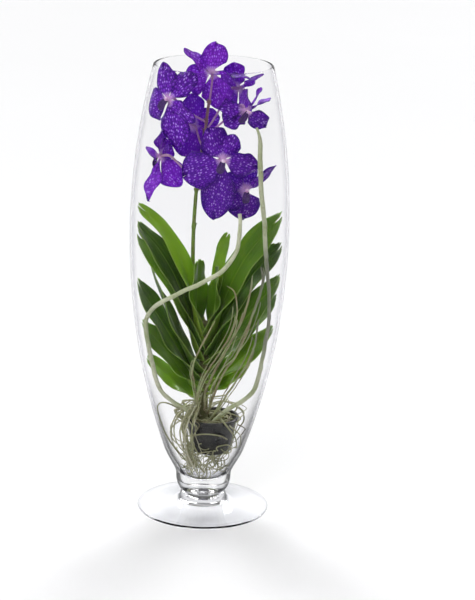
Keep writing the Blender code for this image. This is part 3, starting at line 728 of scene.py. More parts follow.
def stemRadius(height):
    share = (height - pot["floor"]) / (stem["top"] - pot["floor"])
    return blend(stem["radius"], stem["topRadius"], min(1.0, max(0.0, share)) ** 2)


def onStem(azimuth, height, gap=0.0003):
    return Vector((stem["x"], 0, height)) + direction(azimuth) * (stemRadius(height) + gap)


def buildStem():
    heights = [blend(stem["top"], stem["bottom"], i / 120) for i in range(121)]
    profile = [(0, stem["top"] + 0.003)]
    for height in heights:
        ring = abs(math.sin(math.pi * height / stem["ring"])) ** 0.5
        profile.append((stemRadius(height) - stem["ringDepth"] * (1 - ring), height))
    profile.append((0, stem["bottom"]))
    bm = bmesh.new()
    lathe(bm, profile, 32, Vector((stem["x"], 0, 0)))
    bmesh.ops.recalc_face_normals(bm, faces=bm.faces)
    return attach(addMesh(bm, "stem", [stemBark]), "green_stem", "stem")


buildStem()


# thin sheets: leaves, sepals, petals and lips
def addSheet(bm, surface, along, across, tone):
    flat = bm.loops.layers.uv.get("flat") or bm.loops.layers.uv.new("flat")
    toneLayer = bm.verts.layers.float.get("tone") or bm.verts.layers.float.new("tone")
    edgeLayer = bm.verts.layers.float.get("edge") or bm.verts.layers.float.new("edge")
    rows = []
    for i in range(along + 1):
        u = 1 - (1 - i / along) ** 1.5
        row = []
        for j in range(across + 1):
            v = 2 * j / across - 1
            spot, where = surface(u, v)
            vert = bm.verts.new(spot)
            vert[toneLayer] = tone
            vert[edgeLayer] = max(abs(v), smoothStep(0.86, 1.0, u))
            row.append((vert, where))
        rows.append(row)
    for i in range(along):
        for j in range(across):
            corners = (rows[i][j], rows[i + 1][j], rows[i + 1][j + 1], rows[i][j + 1])
            face = bm.faces.new([corner[0] for corner in corners])
            face.smooth = True
            for loop, corner in zip(face.loops, corners):
                loop[flat].uv = corner[1]


def thicken(obj, thickness, thinEdge):
    group = obj.vertex_groups.new(name="thick")
    for vert, edge in zip(obj.data.vertices, obj.data.attributes["edge"].data):
        group.add([vert.index], max(thinEdge, 1 - edge.value ** 4), "REPLACE")
    solid = obj.modifiers.new("thickness", "SOLIDIFY")
    solid.thickness = thickness
    solid.offset = 0
    solid.vertex_group = "thick"
    solid.thickness_vertex_group = thinEdge
    solid.use_even_offset = False
    solid.material_offset = 1
    applyModifiers(obj)
    obj.vertex_groups.clear()
    return obj


# leaves
leafShape = dict(thickness=0.0018, sheathStep=0.004, clasp=2.0, baseFold=0.75, tipFold=0.16, ruffle=0.0022,
                 glassGap=0.0015, seatGap=0.0009)
# name, node, base azimuth, tip azimuth, base height, tip height, reach, width, bow, roll, tone; the tone is
# partly the leaf's own colour and partly painted shade, low for leaves seen in shade
leaves = (
    ("leafLeft1", "leaf_left_1", 180, 189, 0.234, 0.418, 0.97, 0.024, 0.34, 46, 1.05),
    ("leafLeft2", "leaf_left_2", 182, 193, 0.220, 0.397, 0.98, 0.035, 0.23, 44, 0.02),
    ("leafLeft3", "leaf_left_3", 177, 172, 0.2065, 0.374, 0.98, 0.032, 0.245, 40, 0.70),
    ("leafLeft4", "leaf_left_4", 192, 219, 0.190, 0.346, 0.91, 0.037, -0.02, 30, 0.15),
    ("leafLeft5", "leaf_left_5", 178, 188, 0.178, 0.318, 0.96, 0.037, 0.04, 38, 0.20),
    ("leafLeft6", "leaf_left_6", 182, 193, 0.164, 0.262, 0.94, 0.035, 0.06, 38, 0.60),
    ("leafLeft7", "leaf_left_7", 177, 188, 0.150, 0.212, 0.92, 0.028, 0.04, 38, 0.85),
    ("leafRight1", "leaf_right_1", 4, 32, 0.2425, 0.377, 0.25, 0.0155, 0.40, 60, 0.85),
    ("leafRight2", "leaf_right_2", -3, -13, 0.228, 0.410, 0.98, 0.043, 0.24, 50, 0.55),
    ("leafRight3", "leaf_right_3", 3, 6, 0.214, 0.366, 0.98, 0.036, 0.20, 38, 0.20),
    ("leafRight4", "leaf_right_4", -3, -10, 0.200, 0.330, 0.98, 0.038, 0.06, 46, 0.40),
    ("leafRight5", "leaf_right_5", 3, 8, 0.186, 0.298, 0.96, 0.034, 0.08, 34, 0.60),
    ("leafRight6", "leaf_right_6", -3, -7, 0.172, 0.258, 0.96, 0.034, 0.00, 38, 0.85),
    ("leafRight7", "leaf_right_7", 2, -4, 0.158, 0.205, 0.66, 0.026, 0.10, 42, 1.05),
    ("leafYoung1", None, 184, 214, 0.247, 0.345, 0.12, 0.036, 0.20, 55, 0.50),
    ("leafYoung2", None, -6, -56, 0.243, 0.338, 0.17, 0.036, 0.20, 55, 0.45),
)


def leafHalfWidth(u, width):
    clasp = min(stem["radius"] * leafShape["clasp"], width * 0.46)
    spread = blend(clasp, width / 2, smoothStep(0.0, 0.36, u))
    return spread * (1 - 0.5 * smoothStep(0.7, 1.0, u))


def leafSurface(baseAzimuth, tipAzimuth, baseHeight, tipHeight, reach, width, bow, roll, rng):
    out = direction(baseAzimuth)
    seat = stemRadius(baseHeight) + leafShape["seatGap"] + leafShape["thickness"]
    base = Vector((stem["x"], 0, baseHeight)) + out * seat
    tip = direction(tipAzimuth) * innerRadius(tipHeight) * reach + Vector((0, 0, tipHeight))
    run = tip - base
    bend = base + Vector((run.x * (0.42 - bow), run.y * (0.42 - bow), run.z * (0.42 + bow)))
    sideStart, sideEnd = direction(baseAzimuth + 90), direction(tipAzimuth + 90)
    turn = math.radians(roll) * (-1 if sideStart.y > 0 else 1)
    length = run.length * 1.08
    phases = [rng.uniform(0, 6.28) for _ in range(6)]
    notchAt = rng.uniform(-0.25, 0.25)

    def surface(u, v):
        # the tip is bitten off unevenly, in two lobes
        notch = 0.085 * bell(v, notchAt, 0.16) + 0.030 * abs(math.sin(8 * v + phases[0]))
        lobe = 0.05 * abs(v - notchAt) ** 2.5
        cutU = u * (1 - (notch + lobe) * smoothStep(0.80, 1.0, u))
        centre = base * (1 - cutU) ** 2 + bend * 2 * cutU * (1 - cutU) + tip * cutU * cutU
        centre += out * leafShape["sheathStep"] * smoothStep(0.0, 0.1, cutU)
        tangent = ((bend - base) * (1 - cutU) + (tip - bend) * cutU).normalized()
        side = sideStart.lerp(sideEnd, cutU)
        side = (side - tangent * side.dot(tangent)).normalized()
        face = tangent.cross(side)
        rolled = turn * smoothStep(0.0, 0.45, cutU)
        side, face = (side * math.cos(rolled) - face * math.sin(rolled),
                      face * math.cos(rolled) + side * math.sin(rolled))
        half = leafHalfWidth(cutU, width)
        half *= 1 + 0.035 * math.sin(9 * cutU + phases[1]) + 0.022 * math.sin(23 * cutU + phases[2] + v)
        fold = blend(leafShape["baseFold"], leafShape["tipFold"], smoothStep(0.0, 0.6, cutU))
        wave = leafShape["ruffle"] * v * v * math.sin(14 * cutU + phases[3] + 1.4 * v)
        wave *= smoothStep(0.1, 0.4, cutU)
        lift = fold * half * (math.sqrt(v * v + 0.004) - 0.063) ** 1.2 + wave
        spot = centre + side * (v * half) + face * lift
        return keepInside(spot, leafShape["glassGap"] + leafShape["thickness"]), (v * half, cutU * length)

    return surface


def buildLeaves():
    rng = random.Random(11)
    for name, node, *numbers, tone in leaves:
        bm = bmesh.new()
        addSheet(bm, leafSurface(*numbers, rng), 64, 22, tone)
        obj = addMesh(bm, name, [leafFace, leafBack])
        thicken(obj, leafShape["thickness"], 0.35)
        attach(obj, "green_leaf", *([node] if node else []))


buildLeaves()
print("leaves ready")

# flowers
flowerShape = dict(
    thickness=0.0009, claw=0.42, hubRadius=0.0036, hubDepth=0.0022, sepalSweep=-0.13, petalSweep=0.05,
    sepalPitch=8.0, petalPitch=4.0, reflex=0.10, cupping=0.30, ruffle=0.0036, swell=0.0013, glassGap=0.0015,
    dorsalWidth=0.034, petalWidth=0.035, lateralWidth=0.042, columnRadius=0.0026, columnLength=0.0072,
    lipLength=0.019, lipWidth=0.010, lipThickness=0.0014)
# hub in mm, the way it faces, then each tepal: its angle round the face, its length in mm, and where it
# isn't plain its twist in degrees, its rise over its length and its share of the usual width; last the
# lip's angle, the height where the stalk joins the spike, and the tone. The tone is partly painted shade:
# flowers that lie in shade, such as the back one, get a low tone and are painted darker.
flowers = (
    dict(name="top", hub=(-2, -6, 590), faces=(182, 26), dorsal=(96, 42, 0, 0.42, 1.04),
         petals=((40, 48, 76, 0.15, 0.55), (190, 49, 66, 0.0, 0.55)),
         laterals=((-12, 38, 20, 0.0, 0.9), (253, 50)), lip=310, joins=0.553, tone=0.95),
    dict(name="left", hub=(-56, -34, 559), faces=(-28, 6), dorsal=(50, 46, 0, 0.0, 0.85),
         petals=((106, 48, 10, 0.0, 0.9), (-31, 46, 26, 0.0, 0.8)),
         laterals=((198, 40), (-76, 62)), lip=232, joins=0.525, tone=1.05),
    dict(name="low_left", hub=(-66, -14, 482), faces=(-122, -6), dorsal=(84, 38),
         petals=((160, 30), (20, 36, 45, 0.0, 0.7)),
         laterals=((244, 48, 25, 0.0, 0.85), (-70, 60, 62, 0.38, 0.40)), lip=270, joins=0.452, tone=0.50),
    dict(name="centre", hub=(15, -50, 486), faces=(2, -4), dorsal=(62, 34, 0, 0.0, 0.85),
         petals=((204, 56, 0, 0.0, 1.42), (-12, 46, 18, 0.0, 1.1)),
         laterals=((-97, 86, 0, 0.0, 1.02), (120, 44, 18, 0.0, 0.95)), lip=250, joins=0.462, tone=0.45),
    dict(name="low_right", hub=(45, -16, 441), faces=(14, -6), dorsal=(86, 36),
         petals=((38, 50, 42, 0.0, 0.72), (150, 38)), laterals=((-84, 44), (-146, 38, 25)),
         lip=265, joins=0.436, tone=0.50),
    dict(name="right", hub=(42, -28, 546), faces=(28, -14), dorsal=(16, 40, 66, 0.05, 0.40),
         petals=((62, 36, 62, 0.1, 0.45), (-35, 43, 18, 0.0, 0.75)),
         laterals=((-138, 32, 60, 0.0, 0.8), (176, 34, 45, 0.0, 0.6)), lip=225, joins=0.508, tone=0.55),
    dict(name="high_right", hub=(34, 22, 566), faces=(128, 6), dorsal=(94, 36, 30, 0.0, 0.8),
         petals=((152, 54, 72, 0.0, 0.36), (20, 40)), laterals=((222, 42), (-42, 42)),
         lip=270, joins=0.512, tone=0.65),
    dict(name="back", hub=(-26, 24, 516), faces=(196, -4), dorsal=(88, 42), petals=((166, 38), (14, 42)),
         laterals=((224, 46), (-66, 42)), lip=270, joins=0.492, tone=0.35),
)


def flowerFrame(flower):
    azimuth, elevation = (math.radians(angle) for angle in flower["faces"])
    face = Vector((math.sin(azimuth) * math.cos(elevation), -math.cos(azimuth) * math.cos(elevation),
                   math.sin(elevation)))
    up = (Vector((0, 0, 1)) - face * face.z).normalized()
    matrix = Matrix((up.cross(face), up, face)).transposed().to_4x4()
    matrix.translation = fromMm(flower["hub"])
    return matrix


def tepalSurface(matrix, tepal, width, layer, sweep, pitch, rng):
    angle, length, twist, rise, wide = (*tepal, *(0, 0, 1)[len(tepal) - 2:])
    length, width, sweep = length / 1000, width * wide, sweep + rise
    out, side = direction(angle), direction(angle + 90)
    start = flowerShape["hubRadius"] * 0.3
    phases = [rng.uniform(0, 6.28) for _ in range(5)]
    notch, notchAt = rng.uniform(0.04, 0.15), rng.uniform(-0.3, 0.3)
    lean = rng.uniform(-0.05, 0.05)

    def surface(u, v):
        outline = math.sin(math.pi * min(1.0, u) ** 1.2) ** 0.62 if 0 < u < 1 else 0
        claw = blend(flowerShape["claw"], 1.0, smoothStep(0.0, 0.36, u))
        half = max(width / 2 * outline * claw, flowerShape["hubRadius"] * 0.8 * (1 - u) ** 2)
        flank = 2 if v > 0 else 0
        half *= (1 + 0.045 * math.sin(7 * u + phases[0] + flank)
                 + 0.028 * math.sin(19 * u + phases[4] + 2 * flank))
        across = v * half
        reach = blend(start, length, u * (1 - notch * bell(v, notchAt, 0.22) * smoothStep(0.7, 1.0, u)))
        tilt = math.radians(pitch + twist * smoothStep(0.05, 0.6, u))
        lift = (layer + sweep * reach - flowerShape["reflex"] * length * u ** 3
                - flowerShape["cupping"] * across * across / width)
        lift += across * math.sin(tilt) * smoothStep(0.0, 0.3, u)
        edge = abs(v) ** 3 * smoothStep(0.15, 0.45, u)
        lift += flowerShape["ruffle"] * edge * math.sin(10 * u + phases[1] + (1.7 if v > 0 else 0))
        swell = math.sin(4 * v + phases[2]) * math.sin(6 * u + phases[3])
        lift += flowerShape["swell"] * swell * smoothStep(0, 0.3, u)
        bend = lean * reach * u
        spot = matrix @ (out * reach + side * (across * math.cos(tilt) + bend) + Vector((0, 0, lift)))
        return keepInside(spot, flowerShape["glassGap"] + flowerShape["thickness"]), (across, reach)

    return surface


def addHub(bm, matrix, layer):
    flat = bm.loops.layers.uv.get("flat")
    radius = flowerShape["hubRadius"]
    squash = Matrix.Diagonal((radius, radius, flowerShape["hubDepth"] / 2, 1))
    made = bmesh.ops.create_uvsphere(bm, u_segments=20, v_segments=10, radius=1,
                                     matrix=matrix @ Matrix.Translation((0, 0, layer)) @ squash)
    for face in {face for vert in made["verts"] for face in vert.link_faces}:
        face.smooth = True
        for loop in face.loops:
            loop[flat].uv = (0, 0)


def buildWhorl(name, node, matrix, tepals, layer, sweep, pitch, tone, rng):
    bm = bmesh.new()
    for tepal, width in tepals:
        surface = tepalSurface(matrix, tepal, width, layer, sweep, pitch, rng)
        addSheet(bm, surface, 40, 26, tone + rng.uniform(-0.15, 0.15))
    bmesh.ops.remove_doubles(bm, verts=bm.verts, dist=1e-5)
    obj = addMesh(bm, name, [petalFace, petalBack])
    thicken(obj, flowerShape["thickness"], 0.4)
    bm = bmesh.new()
    bm.from_mesh(obj.data)
    addHub(bm, matrix, layer)
    bm.to_mesh(obj.data)
    bm.free()
    return attach(obj, "violet_petal", node)


def lipSurface(matrix, angle, layer):
    out, side = direction(angle), direction(angle + 90)
    length, width = flowerShape["lipLength"], flowerShape["lipWidth"]

    def surface(u, v):
        half = width / 2 * (0.55 + 0.45 * math.sin(math.pi * u * 0.85))
        half *= math.sqrt(max(0.0, 1 - smoothStep(0.86, 1.0, u) * 0.8))
        across = v * half
        reach = length * u * 0.86 * (1 - 0.10 * bell(v, 0, 0.25) * smoothStep(0.8, 1.0, u))
        keel = 0.0009 * bell(v, 0, 0.22) * smoothStep(0.0, 0.2, u) * (1 - u)
        ridges = 0.0003 * math.cos(9 * v) * (1 - u)
        lift = layer + length * (0.62 * u - 0.5 * u * u) + 0.5 * across * across / width + keel + ridges
        spot = matrix @ (out * reach + side * across + Vector((0, 0, lift)))
        return keepInside(spot, flowerShape["glassGap"] + flowerShape["lipThickness"]), (across, reach)

    return surface


def buildColumn(name, node, matrix, angle, layer):
    bm = bmesh.new()
    addSheet(bm, lipSurface(matrix, angle, layer + flowerShape["lipThickness"]), 24, 14, 0.5)
    tongue = thicken(addMesh(bm, name, [darkLip, darkLip]), flowerShape["lipThickness"], 0.5)
    attach(tongue, "dark_lip", node)
    # column: a short hooded post with two ears, pale against the petals
    radius, length = flowerShape["columnRadius"], flowerShape["columnLength"]
    profile = [(0, length)] + [(radius * shape, length * share) for share, shape in (
        (0.99, 0.30), (0.95, 0.62), (0.86, 0.88), (0.74, 0.98), (0.62, 0.86), (0.52, 0.74), (0.38, 0.80),
        (0.22, 0.95), (0.08, 1.05), (0.0, 1.0))] + [(0, 0)]
    bm = bmesh.new()
    lathe(bm, profile, 28)
    for side in (-1, 1):
        spot = Matrix.Translation((side * radius * 0.95, -radius * 0.3, length * 0.25))
        ear = Matrix.Diagonal((radius * 0.55, radius * 0.8, length * 0.24, 1))
        bmesh.ops.create_uvsphere(bm, u_segments=14, v_segments=8, radius=1, matrix=spot @ ear)
    bmesh.ops.recalc_face_normals(bm, faces=bm.faces)
    for face in bm.faces:
        face.smooth = True
    away = direction(angle + 180)
    lean = Matrix.Shear("XY", 4, (away.x * 0.25, away.y * 0.25))
    bm.transform(matrix @ Matrix.Translation((0, 0, layer)) @ lean)
    attach(addMesh(bm, name + "Column", [paleColumn]), "dark_lip", node)


def buildFlowers():
    rng = random.Random(5)
    layer = (flowerShape["hubDepth"] + 0.0003) / 2
    for flower in flowers:
        matrix = flowerFrame(flower)
        node = "flower_" + flower["name"]
        title = "flower" + flower["name"].title().replace("_", "")
        sepals = [(flower["dorsal"], flowerShape["dorsalWidth"])]
        sepals += [(tepal, flowerShape["lateralWidth"]) for tepal in flower["laterals"]]
        petals = [(tepal, flowerShape["petalWidth"]) for tepal in flower["petals"]]
        buildWhorl(title + "Sepals", node + "_sepals", matrix, sepals, -layer, flowerShape["sepalSweep"],
                   flowerShape["sepalPitch"], flower["tone"], rng)
        buildWhorl(title + "Petals", node + "_petals", matrix, petals, layer, flowerShape["petalSweep"],
                   flowerShape["petalPitch"], flower["tone"], rng)
        buildColumn(title + "Lip", node + "_lip", matrix, flower["lip"], flowerShape["hubDepth"] + 0.00045)


buildFlowers()
print("flowers ready")


# a round shoot swept along each curve: it wanders, swells at its knots and takes its own tone
def makeSweepTree():
    tree = bpy.data.node_groups.new("sweepShoots", "GeometryNodeTree")
    face = tree.interface
    face.new_socket("Shoots", in_out="INPUT", socket_type="NodeSocketGeometry")
    for name, value in (("Spacing", 0.002), ("Wander", 0.0), ("Wander Size", 0.02), ("Knots", 0.0),
                        ("Knot Size", 0.006), ("Tone Low", 0.0), ("Tone High", 1.0)):
        face.new_socket(name, in_out="INPUT", socket_type="NodeSocketFloat").default_value = value
    for name, value in (("Sides", 12), ("Seed", 3)):
        face.new_socket(name, in_out="INPUT", socket_type="NodeSocketInt").default_value = value
    face.new_socket("Skin", in_out="INPUT", socket_type="NodeSocketMaterial")
    face.new_socket("Shoots", in_out="OUTPUT", socket_type="NodeSocketGeometry")
    nodes, link = tree.nodes, tree.links.new
    given = nodes.new("NodeGroupInput").outputs

    def number(operation, a, b):
        node = nodes.new("ShaderNodeMath")
        node.operation = operation
        put(tree, node.inputs[0], a)
        put(tree, node.inputs[1], b)
        return node.outputs[0]

    def fineNoise(size):
        node = nodes.new("ShaderNodeTexNoise")
        node.noise_dimensions = "4D"
        link(given["Seed"], node.inputs["W"])
        link(number("DIVIDE", 1.0, size), node.inputs["Scale"])
        return node

    tones = nodes.new("FunctionNodeRandomValue")
    tones.data_type = "FLOAT"
    link(given["Tone Low"], tones.inputs[2])  # 2 and 3 are the single numbers' least and most
    link(given["Tone High"], tones.inputs[3])
    link(given["Seed"], tones.inputs["Seed"])
    keep = nodes.new("GeometryNodeStoreNamedAttribute")
    keep.data_type, keep.domain = "FLOAT", "CURVE"
    keep.inputs["Name"].default_value = "tone"
    link(given["Shoots"], keep.inputs["Geometry"])
    link(tones.outputs[1], keep.inputs["Value"])
    even = nodes.new("GeometryNodeResampleCurve")
    even.mode = "LENGTH"
    link(keep.outputs[0], even.inputs["Curve"])
    link(given["Spacing"], even.inputs["Length"])
    along = nodes.new("GeometryNodeSplineParameter").outputs["Factor"]
    free = number("MULTIPLY", number("MULTIPLY", along, number("SUBTRACT", 1.0, along)), 4.0)
    centred = nodes.new("ShaderNodeVectorMath")
    centred.operation = "SUBTRACT"
    link(fineNoise(given["Wander Size"]).outputs["Color"], centred.inputs[0])
    centred.inputs[1].default_value = (0.5, 0.5, 0.5)
    push = nodes.new("ShaderNodeVectorMath")
    push.operation = "SCALE"
    link(centred.outputs[0], push.inputs[0])
    link(number("MULTIPLY", free, given["Wander"]), push.inputs["Scale"])
    move = nodes.new("GeometryNodeSetPosition")
    link(even.outputs[0], move.inputs["Geometry"])
    link(push.outputs[0], move.inputs["Offset"])
    swell = number("MULTIPLY", number("SUBTRACT", fineNoise(given["Knot Size"]).outputs["Fac"], 0.5),
                   given["Knots"])
    width = number("MULTIPLY", nodes.new("GeometryNodeInputRadius").outputs[0], number("ADD", 1.0, swell))
    ring = nodes.new("GeometryNodeCurvePrimitiveCircle")
    link(given["Sides"], ring.inputs["Resolution"])
    ring.inputs["Radius"].default_value = 1.0
    sweep = nodes.new("GeometryNodeCurveToMesh")
    link(move.outputs[0], sweep.inputs["Curve"])
    link(ring.outputs[0], sweep.inputs["Profile Curve"])
    link(width, sweep.inputs["Scale"])
    sweep.inputs["Fill Caps"].default_value = True
    smooth = nodes.new("GeometryNodeSetShadeSmooth")
    link(sweep.outputs[0], smooth.inputs["Geometry"])
    real = nodes.new("GeometryNodeRealizeInstances")
    link(smooth.outputs[0], real.inputs[0])
    skin = nodes.new("GeometryNodeSetMaterial")
    link(real.outputs[0], skin.inputs["Geometry"])
    link(given["Skin"], skin.inputs["Material"])
    link(skin.outputs[0], nodes.new("NodeGroupOutput").inputs[0])
    return tree


sweepTree = makeSweepTree()
sweepSockets = {item.name: item.identifier for item in sweepTree.interface.items_tree
                if item.in_out == "INPUT"}


def sweepShoots(name, lines, material, **sizes):
    # lines: (points, radii) for each shoot
    curve = bpy.data.curves.new(name, "CURVE")
    curve.dimensions = "3D"
    for points, radii in lines:
        spline = curve.splines.new("POLY")
        spline.points.add(len(points) - 1)
        for point, spot, radius in zip(spline.points, points, radii):
            point.co = (*spot, 1)
            point.radius = radius
    holder = bpy.data.objects.new(name + "Lines", curve)
    scene.collection.objects.link(holder)
    grow = holder.modifiers.new("sweep", "NODES")
    grow.node_group = sweepTree
    for label, value in sizes.items():
        grow[sweepSockets[label.replace("_", " ")]] = value
    grow[sweepSockets["Skin"]] = material
    graph = bpy.context.evaluated_depsgraph_get()
    mesh = bpy.data.meshes.new_from_object(holder.evaluated_get(graph))
    mesh.name = name
    bpy.data.objects.remove(holder)
    obj = bpy.data.objects.new(name, mesh)
    scene.collection.objects.link(obj)
    bm = bmesh.new()
    bm.from_mesh(mesh)
    bmesh.ops.remove_doubles(bm, verts=bm.verts, dist=1e-6)
    bmesh.ops.recalc_face_normals(bm, faces=bm.faces)
    bm.to_mesh(mesh)
    bm.free()
    return obj


# flower spike with its stalks and bracts
spikeShape = dict(
    radius=0.0030, tipRadius=0.0019, azimuth=88, height=0.250, stalkRadius=0.0014, stalkLeave=0.016,
    points=((-9, 16, 266), (-15, 20, 290), (-20, 17, 320), (-21, 10, 370), (-19, 2, 425), (-16, 1, 460),
            (-11, 2, 495), (-8, 0, 522), (-6, -7, 543), (-4, -13, 556)),
    nodesAt=(0.318, 0.385, 0.436), bractLength=0.007, bractGap=0.002666)


def pointAtHeight(path, height):
    for low, high in zip(path, path[1:]):
        if low.z <= height <= high.z:
            return low.lerp(high, (height - low.z) / (high.z - low.z))
    return path[-1] if height > path[-1].z else path[0]


def buildSpike():
    start = onStem(spikeShape["azimuth"], spikeShape["height"])
    leave = start + direction(spikeShape["azimuth"]) * 0.005
    path = smoothPath([start, leave, *map(fromMm, spikeShape["points"])], 0.003)
    path = [keepInside(point, 0.0015 + spikeShape["radius"]) for point in path]
    joints = list(spikeShape["nodesAt"]) + [flower["joins"] for flower in flowers]
    radii = []
    for i, point in enumerate(path):
        radius = blend(spikeShape["radius"], spikeShape["tipRadius"], i / (len(path) - 1))
        knot = max(bell(point.z, joint, 0.0022) for joint in joints)
        radii.append(radius * (1 + 0.32 * knot))
    spike = sweepShoots("flowerSpike", [(path, radii)], spikeGreen, Spacing=0.0015, Knots=0.10,
                        Knot_Size=0.004, Sides=20)
    attach(spike, "green_spike", "flower_spike")
    coarse = smoothPath([start, leave, *map(fromMm, spikeShape["points"])], 0.016)
    stalks = []
    for flower in flowers:
        matrix = flowerFrame(flower)
        first = matrix @ Vector((0, 0, -flowerShape["hubDepth"]))
        out = matrix @ Vector((0, 0, -spikeShape["stalkLeave"]))
        end = pointAtHeight(coarse, flower["joins"])
        line = smoothPath([first, out, out.lerp(end, 0.55) + Vector((0, 0, -0.003)), end], 0.002)
        count = len(line) - 1
        ribs = [spikeShape["stalkRadius"] * (1.0 + 0.45 * bell(i / count, 0.10, 0.12))
                for i in range(count + 1)]
        stalks.append((line, ribs))
    stalkPiece = sweepShoots("flowerStalks", stalks, stalkPink, Spacing=0.0012, Knots=0.15, Knot_Size=0.003,
                             Sides=16)
    attach(stalkPiece, "green_spike", "flower_spike")
    bm = bmesh.new()
    bractRng = random.Random(2)
    for joint in joints:
        foot = pointAtHeight(path, joint)
        turn = bractRng.uniform(0, 360)
        out, side = direction(turn), direction(turn + 90)
        length = spikeShape["bractLength"] * bractRng.uniform(0.7, 1.2)

        def surface(u, v, foot=foot, out=out, side=side, length=length):
            angle = v * (1.2 - 0.6 * u)
            wide = 0.0033 * (1 - u ** 1.6) + 0.0001
            push = spikeShape["bractGap"] + 0.0022 * u * u
            spot = foot + out * (push * math.cos(angle)) + side * (wide * math.sin(angle) * 1.1)
            return spot + Vector((0, 0, length * u - 0.001)), (v * wide, u * length)

        addSheet(bm, surface, 10, 8, 0.9)
    bracts = thicken(addMesh(bm, "spikeBracts", [spikeGreen, spikeGreen]), 0.0004, 0.5)
    attach(bracts, "green_spike", "flower_spike")


buildSpike()
print("spike ready")

# long roots: radius in mm, azimuth and height in mm where each leaves the stem, then the points it passes
longRoots = (
    ("rootLongRight", "root_long_right", 3.0, -20, 114,
     ((14, -8, 124), (26, -14, 138), (36, -20, 148), (50, -24, 158), (66, -28, 176), (73, -30, 200),
      (78, -34, 236), (84, -38, 268), (82, -44, 300), (76, -50, 340), (73, -56, 372), (70, -60, 410),
      (65, -62, 450), (63, -62, 490), (62, -58, 515), (56, -54, 530))),
    ("rootAcross", "root_across", 2.8, -150, 124,
     ((-24, -16, 140), (-46, -28, 158), (-62, -36, 178), (-74, -40, 204), (-84, -40, 240), (-88, -44, 266),
      (-80, -58, 286), (-54, -68, 306), (-28, -70, 320), (-2, -68, 333), (18, -62, 345), (34, -54, 366),
      (38, -46, 384), (39, -42, 404), (38, -38, 414))),
    ("rootBundle1", "root_bundle_1", 1.5, -52, 134,
     ((10, -22, 160), (22, -34, 196), (40, -42, 228), (52, -48, 262), (62, -52, 296), (70, -54, 330),
      (67, -60, 350))),
    ("rootBundle2", "root_bundle_2", 1.2, -76, 139,
     ((0, -26, 168), (12, -40, 204), (28, -48, 238), (44, -54, 276), (54, -60, 316), (56, -66, 340))),
    ("rootBundle3", "root_bundle_3", 1.0, -108, 130,
     ((-10, -26, 160), (-2, -42, 196), (14, -50, 226), (32, -58, 262), (38, -60, 290), (34, -60, 316),
      (24, -60, 324))),
    ("rootBundle4", "root_bundle_4", 1.3, -40, 124,
     ((20, -18, 148), (34, -30, 178), (52, -36, 210), (62, -42, 240), (66, -46, 276))),
    ("rootFront", "root_front", 1.0, -126, 138,
     ((-14, -32, 176), (-17, -52, 212), (-6, -64, 246), (10, -65, 278))),
)


def buildLongRoots():
    rng = random.Random(21)
    for name, node, radius, azimuth, height, points in longRoots:
        start = onStem(azimuth, height / 1000)
        leave = start + direction(azimuth) * 0.004
        path = smoothPath([start, leave, *map(fromMm, points)], 0.003)
        path = [keepInside(point, 0.0015 + radius / 1000) for point in path]
        count = len(path) - 1
        taper = 0.15 if name == "rootAcross" else 0.5
        radii = [radius / 1000 * (1 - taper * smoothStep(0.93, 1.0, i / count)) for i in range(count + 1)]
        if name == "rootLongRight":  # it is slimmer where it lies against the leaves
            radii = [size * (1 - 0.28 * bell(point.z, 0.29, 0.07)) for size, point in zip(radii, path)]
        thin = radius < 2
        lines = [(path, radii)]
        for _ in range(3 if thin else 0):
            push = randomVector(rng) * 0.006
            turn, share = rng.uniform(2, 7), rng.uniform(0.6, 1.0)
            last = max(8, round(count * share))
            beside = [point + push * math.sin(turn * i / count) * min(1.0, 6 * i / count)
                      for i, point in enumerate(path[:last])]
            lines.append(([keepInside(point, 0.0025) for point in beside],
                          [size * rng.uniform(0.45, 0.6) for size in radii[:last]]))
        obj = sweepShoots(name, lines, silveryRoot, Spacing=0.0018, Wander=0.004 if thin else 0.003,
                          Wander_Size=0.018, Knots=0.5, Knot_Size=0.009, Tone_Low=0.5 if thin else 0.05,
                          Tone_High=0.9 if thin else 0.25, Sides=16, Seed=len(points))
        attach(obj, "silvery_root", node)


buildLongRoots()
print("long roots ready")

# fine roots: some hang over the pot's rim and down beside it, some curl under it, some lie in it
tangle = dict(
    draped=28, curls=24, loops=10, inPot=10, frontShare=0.30, thin=0.0005, thick=0.0011, rimClear=0.0008,
    lowest=0.0425, leftShare=0.78, seed=9,
    # single roots that stand out, by the points they pass in mm
    strays=(
        ((-10, -2, 135), (-30, -20, 142), (-52, -22, 152), (-62, -20, 146), (-58, -20, 122),
         (-46, -22, 100), (-34, -20, 82)),
        ((-6, -8, 150), (-14, -26, 146), (-24, -38, 122), (-24, -38, 96), (-16, -32, 72), (-8, -22, 54)),
        ((-6, -8, 158), (-18, -24, 150), (-31, -34, 124), (-30, -33, 100), (-22, -30, 74), (-14, -20, 52)),
        ((-4, -8, 162), (-8, -28, 150), (-16, -42, 124), (-15, -40, 98), (-12, -33, 76), (2, -24, 56)),
        ((-30, -26, 118), (-24, -38, 112), (-2, -42, 116), (20, -38, 113), (30, -26, 104))))


def fitBowl(point, radius):
    # between the glass and the pot
    limit = innerRadius(point.z) - 0.0016 - radius
    flat = math.hypot(point.x, point.y)
    if flat > limit:
        point = Vector((point.x * limit / flat, point.y * limit / flat, point.z))
    away = Vector((point.x - pot["centre"].x, point.y - pot["centre"].y))
    lip = pot["lip"] if point.z > potRim - pot["lipHeight"] else 0
    need = potRadius(min(point.z, potRim)) + lip + radius
    if pot["floor"] - 0.001 < point.z < potRim and away.length < need + tangle["rimClear"]:
        away = away.normalized() * (need + tangle["rimClear"])
        point = Vector((pot["centre"].x + away.x, pot["centre"].y + away.y, point.z))
    return point


